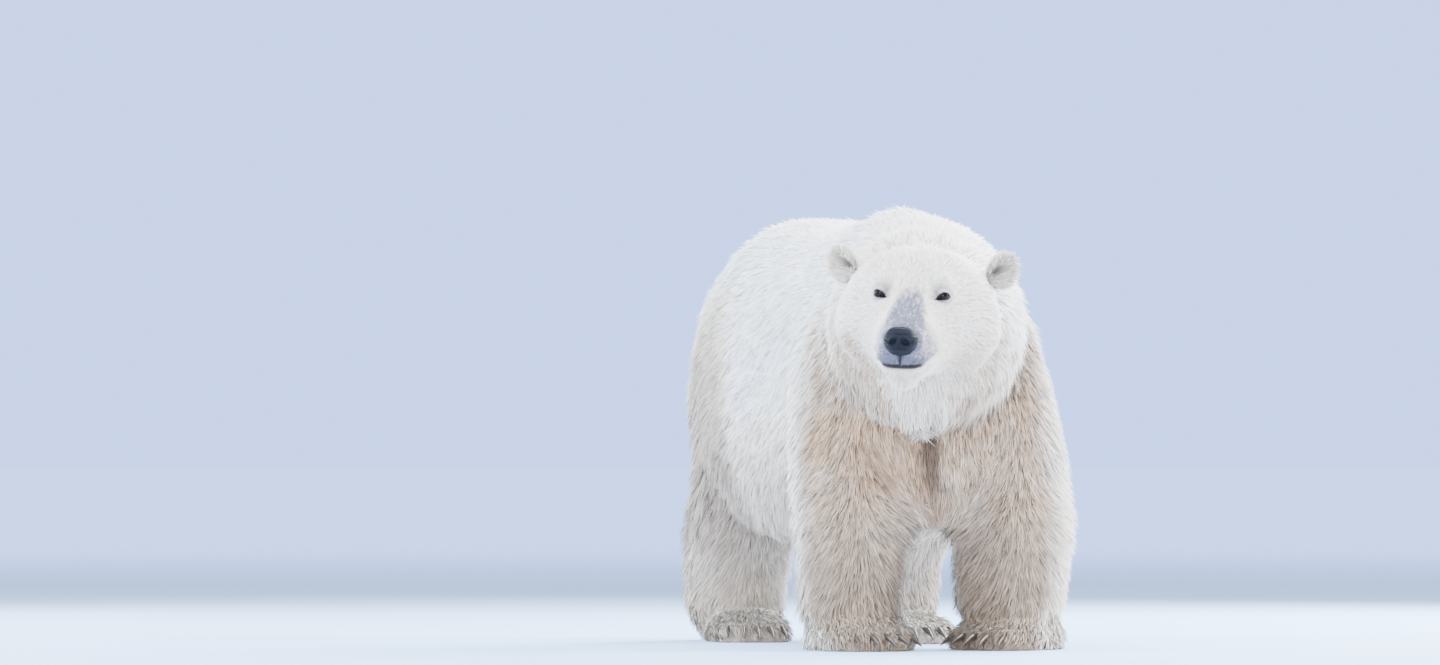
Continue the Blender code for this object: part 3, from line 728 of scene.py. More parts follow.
def outer_sides(points, normals):
    """1 where the body turns away at its sides, where the hair is long and stands out; the coat is
    left pale there, partly its own pale outer hair and partly a painted rim of light.
    """
    left = points[:, 0] > 0
    side = np.where(left, 1, -1)
    facing = side * (normals[:, 0] * 0.956 - normals[:, 1] * 0.29)
    near_edge = ramp(np.abs(points[:, 0]), 0.19, 0.26)
    return near_edge * ramp(facing, np.where(left, 0.45, 0.70), np.where(left, 0.80, 0.98))


def fluffy(points, normals, shares):
    """How far the hair is short and tousled, as it is over the back and the flanks."""
    ahead = ramp(-normals[:, 1], 0.15, 0.6) * (points[:, 1] < 0)
    return (shares["trunk"] + 0.6 * shares["neck"]) * (1 - ahead) * ramp(points[:, 2], 0.40, 0.60)


def tuft_sizes(points, normals, shares, kind):
    """The length and width of the tufts rooted at each point."""
    head = to_head(points)
    along, z = -head[:, 1], points[:, 2]
    legs = sum(shares[name] for name in LEGS)
    length = 0.052 - 0.015 * fluffy(points, normals, shares) + 0.006 * noise(points, 0.12, 21)
    length += 0.016 * ramp(-normals[:, 2], 0.1, 0.8)
    length += legs * (-0.010 + 0.014 * ramp(normals[:, 1], 0.1, 0.7))
    length += 0.012 * outer_sides(points, normals) * np.maximum(legs, 0.5 * shares["trunk"])
    width = 0.0028 - 0.0003 * legs

    low = ramp(-0.14 - head[:, 2], 0, 0.06) * ramp(0.30 - along, 0, 0.14)
    in_middle = 1 - ramp(np.abs(head[:, 0]), 0.04, 0.10)
    on_head = np.interp(along, *FACE_LENGTH)
    on_head = on_head + 0.010 * low * in_middle + 0.026 * on_chin(head) * (1 - low)
    length = blend(length, on_head, shares["head"])
    width = blend(width, np.interp(along, *FACE_WIDTH) + 0.0003 * low, shares["head"])

    paws = sum(shares[name] for name in PAW_NODES)
    length = blend(length, np.interp(z, *PAW_LENGTH), paws)
    width = blend(width, 0.0024, paws)
    length = blend(length, 0.034, shares["tail"])
    for special, its_length, its_width in ((EAR, 0.023, 0.0015), (LID, 0.0050, 0.0010)):
        there = np.abs(kind - special) <= 0.5
        length = np.where(there, its_length, length)
        width = np.where(there, its_width, width)
    return length, width


def chest_front(points, normals):
    """1 on the front of the chest."""
    y, z = points[:, 1], points[:, 2]
    ahead = ramp(-normals[:, 1], -0.15, 0.40)
    return ahead * ramp(0.88 - z, 0, 0.12) * ramp(-0.10 - y, 0, 0.18)


def haunches(points, normals):
    """1 on the sides of the thighs, which are stained tan and darkened with painted shade, fading
    out to the edge of the stain and a little toward the outline as a painted rim of light.
    """
    x, y, z = points.T
    off = np.hypot((y - 0.58) / 0.30, np.maximum(z - 0.42, 0) / 0.45)
    spot = ramp(1.24 - off, 0, 0.52) * ramp(np.abs(x) - 0.10, 0, 0.12)
    return spot * (1 - 0.10 * outer_sides(points, normals))


def stained(points, normals, shares, fore, hind):
    """How far the coat is stained tan, from 0 to 1."""
    head = to_head(points)
    hx, along, hz = head[:, 0], -head[:, 1], head[:, 2]
    x, y, z = points.T
    outer = outer_sides(points, normals)
    front = ramp(-normals[:, 1], -0.35, 0.60)
    # Less stain where the body turns away at its sides, here and in the warm tan below: partly the
    # pale outer hair, partly a painted rim of light.
    stain = fore * (0.46 + 0.54 * front + 0.30 * ramp(0.30 - z, 0, 0.2)) * (1 - 0.90 * outer)
    on_hind = 0.28 + 0.28 * front + 0.10 * ramp(0.45 - z, 0, 0.2)
    stain += hind * on_hind * (1 - 0.55 * outer) * np.where(x < 0, 1.0, 0.12)

    chest = chest_front(points, normals)
    shoulder = ramp(-normals[:, 1], 0.05, 0.45) * ramp(0.98 - z, 0, 0.20)
    shoulder *= ramp(-0.12 - y, 0, 0.12)
    sides_low = ramp(0.66 - z, 0, 0.30)
    belly = ramp(0.34 - z, 0, 0.10)
    body = np.maximum.reduce([chest, 0.46 * shoulder, 0.50 * sides_low, 0.45 * belly])
    stain += shares["trunk"] * body * (1 - 0.8 * outer * (y < -0.1))
    stain = np.maximum(stain, 0.74 * haunches(points, normals) * (shares["trunk"] + hind))

    bib = ramp(np.interp(z, *BIB_HALF) - np.abs(hx - 0.005), -0.012, 0.018)
    edge = np.interp(x, *RUFF_EDGE) + 0.008 * noise(points, 0.03, 34)
    under = ramp(edge - z, -0.012, 0.018) * (1 - bib)
    # The nape's outline is left paler too: partly the pale outer hair, partly a painted rim of
    # light.
    nape = ramp(normals[:, 0] * 0.9 - normals[:, 1] * 0.29, 0.55, 0.95)
    on_neck = 0.10 + 0.84 * ramp(0.80 - z, 0, 0.09) * (1 - bib)
    stain += shares["neck"] * on_neck * (1 - 0.8 * nape)
    cheeks = ramp(np.abs(hx), 0.045, 0.10) * ramp(-0.10 - hz, 0, 0.08)
    cheeks *= ramp(0.22 - along, 0, 0.05)
    crown = ramp(hz, -0.02, 0.04) * ramp(0.16 - along, 0, 0.05)
    stain += shares["head"] * (0.10 + 0.48 * cheeks + 0.06 * crown + 0.84 * under)
    stain *= 0.90 + 0.22 * noise(points, 0.09, 31) + 0.12 * noise(points, 0.03, 32)
    warm = np.maximum(shares["trunk"] * chest, fore * ramp(z, 0.30, 0.48)) * (1 - outer)
    return np.clip(stain, 0, 1) * (DULL_STAIN + (1 - DULL_STAIN) * np.clip(warm, 0, 1))


def folded(points, normals, shares, fore, hind):
    """How much painted shade darkens the coat, from 0 to 1: in the crease between the forelegs, low
    on and inside the forelegs, on the haunches, low on the flanks and on the left of the chest.
    """
    x, y, z = points.T
    # The crease between the forelegs, darkened with painted shade.
    seam = (x + 0.054) - (y + 0.50) * 0.30 + 0.010 * noise(points, 0.05, 33)
    fold = bell(seam, 0.018 + 0.06 * np.maximum(0.56 - z, 0)) * ramp(-normals[:, 1], -0.2, 0.3)
    fold *= 1.6 * ramp(z, 0.33, 0.52) * ramp(0.62 - z, 0, 0.06) * (y < -0.2)
    inwards = ramp(-normals[:, 0] * np.sign(x), 0.0, 0.7)
    on_fore = 0.34 * ramp(0.42 - z, 0, 0.22) + np.where(x > 0, 0.26, 0.46) * inwards
    shaded = fore * on_fore * (1 - outer_sides(points, normals))
    on_haunch = haunches(points, normals) * (0.16 + 0.46 * ramp(z, 0.20, 0.36))
    shaded += (shares["trunk"] + hind) * on_haunch
    low = 0.26 * ramp(0.62 - z, 0, 0.20) * (y > -0.2)
    left_chest = 0.22 * chest_front(points, normals) * ramp(x, 0, 0.08)
    shaded += shares["trunk"] * (low + left_chest)
    return np.clip(np.maximum(fold, shaded), 0, 1)


def bared(points, head):
    """How far the slate skin of the bridge and the muzzle's sides shows through the coat."""
    hx, along, hz = head[:, 0], -head[:, 1], head[:, 2]
    line = hz - mouth_height(along)
    above_lips = ramp(line, -0.001, 0.003)
    ragged = 0.007 * noise(points, 0.008, 42) + 0.005 * noise(points, 0.003, 43)
    streaked = noise(head * np.array((1.0, 0.30, 1.0)), 0.0035, 44)
    half = np.interp(along, *BRIDGE_HALF) + ragged
    bridge = ramp(along + 2.0 * ragged, 0.185, 0.245) * ramp(half - np.abs(hx), -0.008, 0.016)
    sides = ramp(along - 0.6 * (hz + 0.12) + ragged, 0.250, 0.335)
    bare = np.maximum(1.25 * bridge, 0.95 * sides) * above_lips
    bare *= 0.80 + 0.14 * noise(points, 0.012, 41) + 0.34 * streaked
    return bare + 0.40 * ramp(along, 0.30, 0.35) * above_lips * bell(line, 0.026)


def dark_lips(head):
    """1 on the dark line of the lips, in the groove below the nose and under it."""
    hx, along, hz = head[:, 0], -head[:, 1], head[:, 2]
    line = hz - mouth_height(along)
    lip = bell(np.minimum(line + 0.006, 0), 0.0035) * bell(np.maximum(line - 0.003, 0), 0.0050)
    lip *= ramp(along, 0.270, 0.310)
    upper = ramp(line, -0.001, 0.001) * bell(line, 0.014) * ramp(along, 0.31, 0.34)
    lip = 0.97 * np.maximum(lip, 0.42 * upper) * (1 - 0.85 * ramp(np.abs(hx), 0.044, 0.060))
    under_nose = bell(hx, 0.005 + 0.009 * ramp(hz, -0.160, -0.135)) * ramp(line, 0.0, 0.003)
    under_nose *= ramp(along, 0.325, 0.350) * ramp(-0.120 - hz, 0, 0.01)
    groove = bell(hx, 0.0030) * ramp(line, 0.0, 0.004)
    groove *= ramp(along, 0.325, 0.345) * ramp(-0.126 - hz, 0, 0.004)
    return np.maximum.reduce([lip, groove, 0.85 * under_nose])


def markings(points, normals, shares, dark):
    """Where the coat is stained, where painted shade darkens it, where it lets the skin show, and
    where that is dark.
    """
    fore, hind = (sum(shares[n] for n in FLESH if n.startswith(end)) for end in ("fore", "hind"))
    head = to_head(points)
    bare, lip = bared(points, head), dark_lips(head)
    for side in (-1, 1):
        centre, look, out, up = eye_axes(side)
        reach = distance(head, centre + 0.004 * up)
        bare = np.maximum(bare, 0.42 * (1 - ramp(reach, 0.018, 0.034)))
        tear = distance(head, centre - 0.026 * out - 0.014 * up)
        bare = np.maximum(bare, 0.40 * bell(tear, 0.012))
        # A dark wedge runs inwards from the low inner corner of the lids.
        a, b = (head - centre) @ out, (head - centre) @ up
        top = -0.0070 + 0.0100 * (1 - (-0.0085 - a) / 0.0135)
        wedge = ramp(top - b, -0.0008, 0.0008) * ramp(b + 0.0092, -0.0008, 0.0008)
        wedge *= (a < -0.006) & (np.abs((head - centre) @ look) < 0.03)
        lip = np.maximum(lip, wedge)
    face = ramp(HEAD_REACH - np.linalg.norm(head, axis=1), 0, 0.05) * shares["head"]
    return {
        "stain": stained(points, normals, shares, fore, hind),
        "fold": folded(points, normals, shares, fore, hind),
        "bare": np.clip(bare * face, 0, 1),
        "dark": np.clip(np.maximum(dark, lip * face), 0, 1),
    }


def skin_with_markings():
    """The skin's mesh, its corners and normals, the shares of its nodes, their kinds and marks."""
    mesh = built_skin()
    points, normals = corners(mesh), corner_normals(mesh)
    shares = region_shares(points, edge_pairs(mesh))
    marks = markings(points, normals, shares, corner_values(mesh, "dark"))
    plain = np.zeros(len(points))
    # The skin takes the values of a tuft's root, so it carries the painted shade of the roots.
    store(mesh, **marks, tone=plain + 0.40, tip=plain)
    return mesh, points, normals, shares, corner_values(mesh, "kind"), marks


def unwrapped(piece):
    """The skin's own unwrap, which the tufts share, each taking a small patch at its root."""
    piece.data.uv_layers.new(name="OFBake")
    bpy.ops.object.select_all(action="DESELECT")
    bpy.context.view_layer.objects.active = piece
    piece.select_set(True)
    bpy.ops.object.mode_set(mode="EDIT")
    bpy.ops.mesh.select_all(action="SELECT")
    bpy.ops.uv.smart_project(angle_limit=math.radians(75), island_margin=0.0, area_weight=0.0)
    bpy.ops.object.mode_set(mode="OBJECT")
    piece.select_set(False)


def lay_ear_hair(flow, points, normals, kind):
    """Turns the hair on the ears so that it lies from an ear's foot out over its rim."""
    head = to_head(points)
    for side in (-1, 1):
        near = (kind > EAR - 0.5) & (np.sign(head[:, 0]) == side)
        foot = mirrored(EAR_PLACE, side) + np.array((-0.030 * side, 0.004, -0.046))
        out = unit(head[near] - foot) + np.array((0.0, 0.35, 0.0))
        reach = head[near] - mirrored(EAR_PLACE, side)
        parting = np.clip(ear_lean(reach[:, 0], reach[:, 2], side) / 0.008, -1, 1)
        parting *= ramp(-(normals[near] @ HEAD_AXES)[:, 1], 0.1, 0.5)
        out = out + column(parting) * np.array((side * 0.95, -0.25, -0.45))
        flow[near] = flattened(out @ HEAD_AXES.T, normals[near])


def near_lids(head, side):
    """How far out of an eye's lids each point is: up to 1 over them, and more past them."""
    centre, look, out, up = eye_axes(side)
    across, above = (head - centre) @ out, (head - centre) @ up
    rim = np.minimum(
        np.hypot(across / 0.0195, (above + 0.001) / 0.0130),
        np.hypot((across + 0.017) / 0.0130, (above + 0.007) / 0.0080),
    )
    return np.where(head @ look > 0.1, rim, 9.0)


def grown_coat(skin, points, normals, shares, kind, marks):
    """The roots, lie, sizes and markings of every tuft, from the skin's triangles."""
    mesh = skin.data
    triangles, loops = mesh_triangles(mesh), mesh_triangles(mesh, "loops")
    unwrap = taken(mesh.uv_layers["OFBake"].uv, "vector", 2)
    flow = lie_of_coat(points, normals, shares)
    lay_ear_hair(flow, points, normals, kind)
    length, width = tuft_sizes(points, normals, shares, kind)
    depth = np.where(kind > LID - 0.5, 0.0014, coat_depth(points, normals))
    depth = np.where(kind > EAR - 0.5, 0.010, depth)
    covered = np.clip(1 - 1.6 * marks["dark"], 0, 1) * (1 - 0.93 * marks["bare"])
    for side in (-1, 1):
        rim = near_lids(to_head(points), side)
        covered *= ramp(rim, 0.85, 1.25)
        length = length * np.interp(rim, (1.0, 2.4), (0.25, 1.0))
    covered *= 1 - on_soles(points, normals)
    crowding = covered / (length * width)
    odds = triangle_areas(points, triangles) * crowding[triangles].mean(1)
    picked = np.sort(random.choice(len(odds), TUFTS, p=odds / odds.sum()))
    spots = spots_within(TUFTS)
    at_corners = {
        "place": points,
        "normal": normals,
        "flow": flow,
        "length": length,
        "width": width,
        "depth": depth,
        "head": shares["head"],
        "legs": sum(shares[n] for n in LEGS + PAW_NODES),
        "paws": sum(shares[n] for n in PAW_NODES),
        "outer": outer_sides(points, normals),
        "fluffy": fluffy(points, normals, shares),
        "kind": kind,
        **{key: marks[key] for key in MARKS},
    }
    roots = {key: at_spots(value, triangles[picked], spots) for key, value in at_corners.items()}
    roots["uv"] = at_spots(unwrap, loops[picked], spots)
    roots["normal"] = unit(roots["normal"])
    roots["flow"] = flattened(roots["flow"], roots["normal"])
    return roots


def gathered(place, flow, length, clumps):
    """How far each tuft's tip moves to its clump's, and a number shared by each clump."""
    centres = np.flatnonzero(random.random(len(place)) < 1 / clumps)
    nearby = nearest(place[centres], place)
    leader = centres[nearby]
    tip = place + flow * column(length)
    meeting = place[leader] + flow[leader] * column(length[leader])
    shift = meeting + (place - place[leader]) * 0.30 - tip
    size = np.linalg.norm(shift, axis=1, keepdims=True) + 1e-9
    return shift * np.minimum(1, 0.5 * column(length) / size), random.random(len(centres))[nearby]


def tuft_bends(roots):
    """Each tuft's own length, width, rise, swerves, roll, gathering and tone."""
    head, legs, paws, outer = (roots[key] for key in ("head", "legs", "paws", "outer"))
    soft, depth = roots["fluffy"], roots["depth"]
    draw = random.random((8, len(head)))
    length = roots["length"] * (0.70 + 0.60 * draw[0])
    width = roots["width"] * (0.70 + 0.60 * draw[1])
    shift, clump = gathered(roots["place"], roots["flow"], length, 5)
    shift -= roots["normal"] * (shift * roots["normal"]).sum(1, keepdims=True)

    stray = (draw[2] > 0.85) * (1 - 0.6 * head) * (1 - 0.7 * outer)
    proud = (clump * 13.7 % 1 < 0.12) | (draw[2] < 0.012)
    proud = proud & (head < 0.5) & (paws < 0.5) & (roots["kind"] < 0.5)
    lift = depth * (0.50 + 0.44 * draw[3] + 0.42 * clump + (0.62 + 0.30 * legs) * stray)
    length = length * (1 + 0.30 * stray * outer * (1 - head))
    lift = lift * (1 + 0.70 * outer * (1 - head) * (clump * 3.7 % 1 > 0.35))
    lift = np.minimum(lift, np.minimum(0.78 * length, depth + 0.016))
    length = length * (1 + 0.25 * proud)
    standing = depth + 0.004 + 0.020 * (clump * 5.3 % 1) ** 1.5 + 0.003 * draw[3]
    lift = np.where(proud, np.minimum(0.72 * length, standing), lift)

    veer = (draw[4] - 0.5) * (0.42 - 0.10 * head - 0.16 * legs + 0.20 * soft)
    rounding = 0.42 - 0.22 * head + 0.4 * legs * (1 - paws)
    rounding = np.where(roots["kind"] > EAR - 0.5, 0.040, rounding)
    common = 0.50 + 0.20 * soft
    held = 0.62 - 0.20 * (head + soft) - 0.22 * legs
    return {
        "length": length,
        "width": width,
        "lift": lift,
        "veer": veer + (clump * 7.31 % 1 - 0.5) * 1.1 * soft,
        "bow": (draw[5] - 0.5) * 0.30,
        "roll": (draw[6] - 0.5) * 1.1,
        "rounding": rounding - 0.30 * paws * (rounding > 0.3),
        "shift": shift,
        "gather": held + 0.40 * np.maximum(0.75 * proud, outer),
        "tone": common * clump + (1 - common) * draw[7],
    }


def tuft_row(roots, bends, t):
    """The middle line of every tuft, a share t of the way from its root to its tip."""
    length, normal = bends["length"], roots["normal"]
    across = np.cross(normal, roots["flow"])
    forward = length * t
    aside = length * (bends["veer"] * t + bends["bow"] * t * (1 - t) * 2)
    rise = bends["lift"] * (1 - (1 - t) ** 1.9)
    rise = rise - forward**2 / (2 * bends["rounding"]) - 0.0012 * (1 - t)
    row = roots["place"] + roots["flow"] * column(forward) + across * column(aside)
    row = row + bends["shift"] * column(bends["gather"] * t**1.5) + normal * column(rise)
    low, high = (np.array(corner) for corner in cad_box)
    beyond = np.maximum(row - high - COAT_ROOM, 0) - np.maximum(low - COAT_ROOM - row, 0)
    row -= 0.8 * beyond
    row[:, 2] = np.maximum(row[:, 2], 0.0008)
    return row


def coat_arrays(roots):
    """The tufts' corners and markings: each is a flat blade of two pairs of corners and a tip."""
    bends = tuft_bends(roots)
    normal, roll = roots["normal"], column(bends["roll"])
    rows = [tuft_row(roots, bends, t) for t in (0.0, TUFT_MIDDLE, 1.0)]
    ahead = unit(rows[2] - rows[1])
    side = unit(np.cross(normal, ahead))
    tilted = side * np.cos(roll) + normal * np.sin(roll)
    facing = unit(np.cross(ahead, tilted))
    facing *= np.sign((facing * normal).sum(1, keepdims=True) + 1e-9)
    upward = np.array((0, -0.2, 0.9)) * column(roots["kind"] > EAR - 0.5)
    soft = unit(normal * 0.80 + facing * 0.45 + upward)
    points, normals = [], []
    for row, wide in zip(rows, (0.70, 1.0)):
        for end in (-1, 1):
            points.append(row + tilted * column(end * 0.5 * wide * bends["width"]))
            normals.append(unit(soft + side * (0.34 * end)))
    points.append(rows[2])
    normals.append(unit(soft + ahead * 0.10))
    patch = np.array([(0, 0), (1, 0), (0, TUFT_MIDDLE), (1, TUFT_MIDDLE), (0.5, 1)]) - 0.5
    made = {
        "points": np.stack(points, 1),
        "normals": np.stack(normals, 1),
        "uvs": roots["uv"][:, None, :] + PATCH * patch,
        "tip": np.tile((0, 0, TUFT_MIDDLE, TUFT_MIDDLE, 1.0), (len(normal), 1)),
        "tone": np.repeat(column(bends["tone"]), TUFT_CORNERS, 1),
    }
    for key in MARKS:
        made[key] = np.repeat(column(roots[key]), TUFT_CORNERS, 1)
    return made


def coat_pieces(roots, made, material):
    """The tufts as pieces named for the part of the body they cover."""
    y = roots["place"][:, 1]
    names = ("head", "legs", "shoulders", "barrel", "rump")
    tests = [roots["head"] > 0.5, roots["legs"] > 0.5, y < -0.12, y < 0.42]
    where = np.select(tests, [0, 1, 2, 3], 4)
    for index, name in enumerate(names):
        chosen = np.flatnonzero(where == index)
        chosen = chosen[np.argsort(y[chosen], kind="stable")]
        parts = max(1, math.ceil(len(chosen) / PIECE_TUFTS))
        for part, some in enumerate(np.array_split(chosen, parts)):
            mesh = mesh_from(
                f"coat_{name}_{part + 1}",
                made["points"][some].reshape(-1, 3),
                (np.arange(len(some))[:, None, None] * TUFT_CORNERS + BLADE).reshape(-1, 3),
                made["uvs"][some].reshape(-1, 2),
                made["normals"][some].reshape(-1, 3),
                **{key: made[key][some].ravel() for key in (*MARKS, "tone", "tip")},
            )
            add_piece(mesh.name, mesh, material)


# Materials.


# Stain is the tan, the second input the painted shade, Bare the slate skin, Tone each tuft's own
# tone and Tip how far along its tuft a corner lies.
COAT_INPUTS = ("Stain", "Fold", "Bare", "Tone", "Tip")


class Nodes:
    """Adds and joins shader nodes in one tree; a colour may be given without its alpha."""

    def __init__(self, tree):
        self.tree = tree

    def feed(self, socket, value):
        if isinstance(value, bpy.types.NodeSocket):
            self.tree.links.new(value, socket)
            return
        if isinstance(value, tuple) and socket.type == "RGBA":
            value = (*value, 1.0)
        socket.default_value = value

    def feed_all(self, node, **inputs):
        for key, value in inputs.items():
            label = key.replace("_", " ")
            self.feed(next(s for s in node.inputs if s.enabled and s.name.lower() == label), value)

    def add(self, kind, **inputs):
        node = self.tree.nodes.new(kind)
        self.feed_all(node, **inputs)
        return node

    def place(self):
        return self.add("ShaderNodeTexCoord").outputs["Object"]

    def noise(self, scale, detail, roughness=0.5):
        node = self.add("ShaderNodeTexNoise", vector=self.place())
        self.feed_all(node, scale=scale, detail=detail, roughness=roughness)
        return node.outputs["Fac"]

    def bump(self, strength, distance, height):
        node = self.add("ShaderNodeBump", strength=strength, distance=distance, height=height)
        return node.outputs["Normal"]

    def math(self, operation, *values):
        node = self.add("ShaderNodeMath")
        node.operation = operation
        for socket, value in zip(node.inputs, values):
            self.feed(socket, value)
        return node.outputs[0]

    def times(self, a, b):
        return self.math("MULTIPLY", a, b)

    def line(self, value, slope, start):
        return self.math("MULTIPLY_ADD", value, slope, start)

    def mix(self, factor, a, b, blend_type="MIX"):
        node = self.add("ShaderNodeMix")
        node.data_type = "RGBA"
        node.blend_type = blend_type
        for index, value in ((0, factor), (6, a), (7, b)):
            self.feed(node.inputs[index], value)
        return node.outputs[2]

    def attribute(self, name):
        node = self.add("ShaderNodeAttribute")
        node.attribute_name = name
        return node.outputs["Fac"]

    def ramp(self, value, low, high):
        node = self.add("ShaderNodeMapRange")
        node.interpolation_type = "SMOOTHSTEP"
        for index, given in enumerate((value, low, high)):
            self.feed(node.inputs[index], given)
        return node.outputs[0]


def coat_colour_group():
    """The coat's colour from its markings and the tone and length of each tuft, with painted shade
    in folds and at the roots, painted light at the tips and a painted blue sky tint on the white.
    """
    tree = bpy.data.node_groups.new("coat colour", "ShaderNodeTree")
    for label in COAT_INPUTS:
        tree.interface.new_socket(label, in_out="INPUT", socket_type="NodeSocketFloat")
    tree.interface.new_socket("Colour", in_out="OUTPUT", socket_type="NodeSocketColor")
    given, result = tree.nodes.new("NodeGroupInput"), tree.nodes.new("NodeGroupOutput")
    stain, fold, bare, tone, tip = (given.outputs[label] for label in COAT_INPUTS)
    n = Nodes(tree)
    drift = n.noise(9.0, 3.0)
    patchy = n.ramp(drift, 0.35, 0.70)
    # The clean white of the coat, tinted blue with painted sky light; the cream is its own colour.
    sky_tinted_white = n.mix(patchy, (0.875, 0.925, 0.99), (0.90, 0.93, 0.97))
    cream = n.mix(patchy, (0.94, 0.915, 0.875), (0.925, 0.89, 0.83))
    coat = n.mix(n.ramp(stain, 0.0, 0.10), sky_tinted_white, cream)
    dull = n.mix(tone, (0.26, 0.188, 0.138), (0.61, 0.485, 0.380))
    warm = n.mix(tone, (0.26, 0.152, 0.084), (0.62, 0.41, 0.255))
    tan = n.mix(n.ramp(stain, 0.70, 1.0), dull, warm)
    full = n.math("MINIMUM", n.math("DIVIDE", stain, DULL_STAIN), 1.0)
    # The tan thins toward the tips of the tufts: painted light shining through the hair.
    lit_tips = n.times(n.ramp(tip, 0.35, 1.0), 0.22)
    coat = n.mix(n.times(full, n.math("SUBTRACT", 1.0, lit_tips)), coat, tan)
    # Painted shade: the coat is darkened toward a deep brown by this mark.
    coat = n.mix(n.times(fold, 0.92), coat, (0.100, 0.066, 0.048))
    # Painted shade at the roots: each tuft darkens toward the skin, and this is multiplied by its
    # own tone.
    out = n.ramp(tip, 0.0, 0.8)
    pale_shade_and_tone = n.times(n.line(out, 0.34, 0.66), n.line(tone, 0.60, 0.48))
    tan_shade_and_tone = n.times(n.line(out, 0.30, 0.72), n.line(tone, 0.62, 0.54))
    unstained = n.math("SUBTRACT", 1.0, full)
    depth = n.math("ADD", n.times(pale_shade_and_tone, unstained), n.times(tan_shade_and_tone, full))
    coat = n.mix(1.0, coat, n.mix(depth, (0, 0, 0), (1, 1, 1)), "MULTIPLY")
    slate = n.mix(n.ramp(drift, 0.3, 0.7), (0.046, 0.057, 0.108), (0.100, 0.118, 0.210))
    scratches = n.times(n.ramp(n.noise(150.0, 4.0, 0.7), 0.54, 0.62), 0.75)
    slate = n.mix(scratches, slate, (0.022, 0.026, 0.042))
    n.feed(result.inputs["Colour"], n.mix(bare, coat, slate))
    return tree


def marked(n, group):
    """The coat's colour at this corner, read from the markings."""
    node = n.add("ShaderNodeGroup")
    node.node_tree = group
    n.feed_all(node, **{label.lower(): n.attribute(label.lower()) for label in COAT_INPUTS})
    return node.outputs["Colour"]


def new_material(name):
    material = bpy.data.materials.new(name)
    material.use_nodes = True
    return material, Nodes(material.node_tree), material.node_tree.nodes["Principled BSDF"]


def coat_material(group):
    material, n, shader = new_material("coat")
    n.feed_all(
        shader,
        base_color=marked(n, group),
        roughness=0.62,
        specular_ior_level=0.30,
        sheen_weight=0.45,
        sheen_roughness=0.45,
    )
    return material


def skin_material(group):
    material, n, shader = new_material("skin")
    bare, dark = n.attribute("bare"), n.attribute("dark")
    fine = n.noise(420.0, 4.0, 0.7)
    scars = n.times(n.ramp(n.noise(70.0, 5.0, 0.75), 0.56, 0.70), n.times(bare, 0.75))
    pitted = n.times(n.ramp(fine, 0.45, 0.75), n.times(bare, 0.45))
    colour = n.mix(scars, marked(n, group), (0.10, 0.11, 0.15))
    colour = n.mix(pitted, colour, (0.20, 0.22, 0.28))
    n.feed_all(
        shader,
        base_color=n.mix(dark, colour, (0.014, 0.012, 0.016)),
        roughness=n.line(dark, -0.16, 0.74),
        specular_ior_level=n.line(dark, -0.40, 0.46),
        normal=n.bump(0.35, 0.0006, fine),
    )
    return material


def nose_material():
    material, n, shader = new_material("nose leather")
    cells = n.add("ShaderNodeTexVoronoi", vector=n.place(), scale=620.0)
    pebbles = cells.outputs["Distance"]
    drift = n.noise(60.0, 3.0)
    colour = n.mix(n.ramp(drift, 0.3, 0.7), (0.0016, 0.0024, 0.0056), (0.0045, 0.0064, 0.0125))
    colour = n.mix(n.times(n.ramp(pebbles, 0.2, 0.7), 0.35), colour, (0.012, 0.016, 0.028))
    n.feed_all(
        shader,
        base_color=colour,
        roughness=n.line(n.ramp(drift, 0.35, 0.65), 0.20, 0.34),
        specular_ior_level=0.08,
        normal=n.bump(0.55, 0.0008, pebbles),
    )
    return material


def eye_material():
    """A dark eye; its gaze value runs from 0 in the pupil to 1 on the white."""
    material, n, shader = new_material("wet eye")
    gaze = n.attribute("gaze")
    streaks = n.ramp(n.noise(900.0, 3.0), 0.3, 0.7)
    iris = n.mix(streaks, (0.006, 0.004, 0.005), (0.014, 0.009, 0.009))
    inner = n.mix(n.ramp(gaze, 0.30, 0.42), (0.002, 0.002, 0.003), iris)
    n.feed_all(
        shader,
        base_color=n.mix(n.ramp(gaze, 0.78, 0.98), inner, (0.012, 0.009, 0.010)),
        roughness=0.20,
        specular_ior_level=0.12,
        coat_weight=0.05,
        coat_roughness=0.05,
    )
    return material


def horn_material():
    material, n, shader = new_material("horn")
    grain = n.noise(260.0, 4.0)
    colour = n.mix(n.attribute("tip"), (0.050, 0.040, 0.034), (0.018, 0.015, 0.014))
    colour = n.mix(n.times(n.ramp(grain, 0.4, 0.7), 0.35), colour, (0.110, 0.090, 0.072))
    n.feed_all(
        shader,
        base_color=colour,
        roughness=n.line(grain, 0.25, 0.22),
        normal=n.bump(0.3, 0.0004, grain),
    )
    return material


def floor_material():
    """A pale floor that takes the light of the room far from the bear, so that it has no edge."""
    material, n, shader = new_material("pale floor")
    reach = n.add("ShaderNodeVectorMath")
    reach.operation = "LENGTH"
    n.feed(reach.inputs[0], n.place())
    far = n.ramp(reach.outputs["Value"], 3.0, 26.0)
    drift = n.ramp(n.noise(0.8, 4.0), 0.3, 0.7)
    near = n.mix(drift, (0.44, 0.64, 0.98), (0.46, 0.66, 0.99))
    near = n.mix(n.add("ShaderNodeLightPath").outputs["Is Camera Ray"], (0.64, 0.68, 0.75), near)
    n.feed_all(
        shader,
        base_color=n.mix(far, near, (0, 0, 0)),
        emission_color=n.mix(far, (0, 0, 0), ROOM_COLOUR),
        emission_strength=ROOM_STRENGTH,
        roughness=0.75,
        specular_ior_level=0.1,
    )
    return material


# The eyes, the nose and the claws.


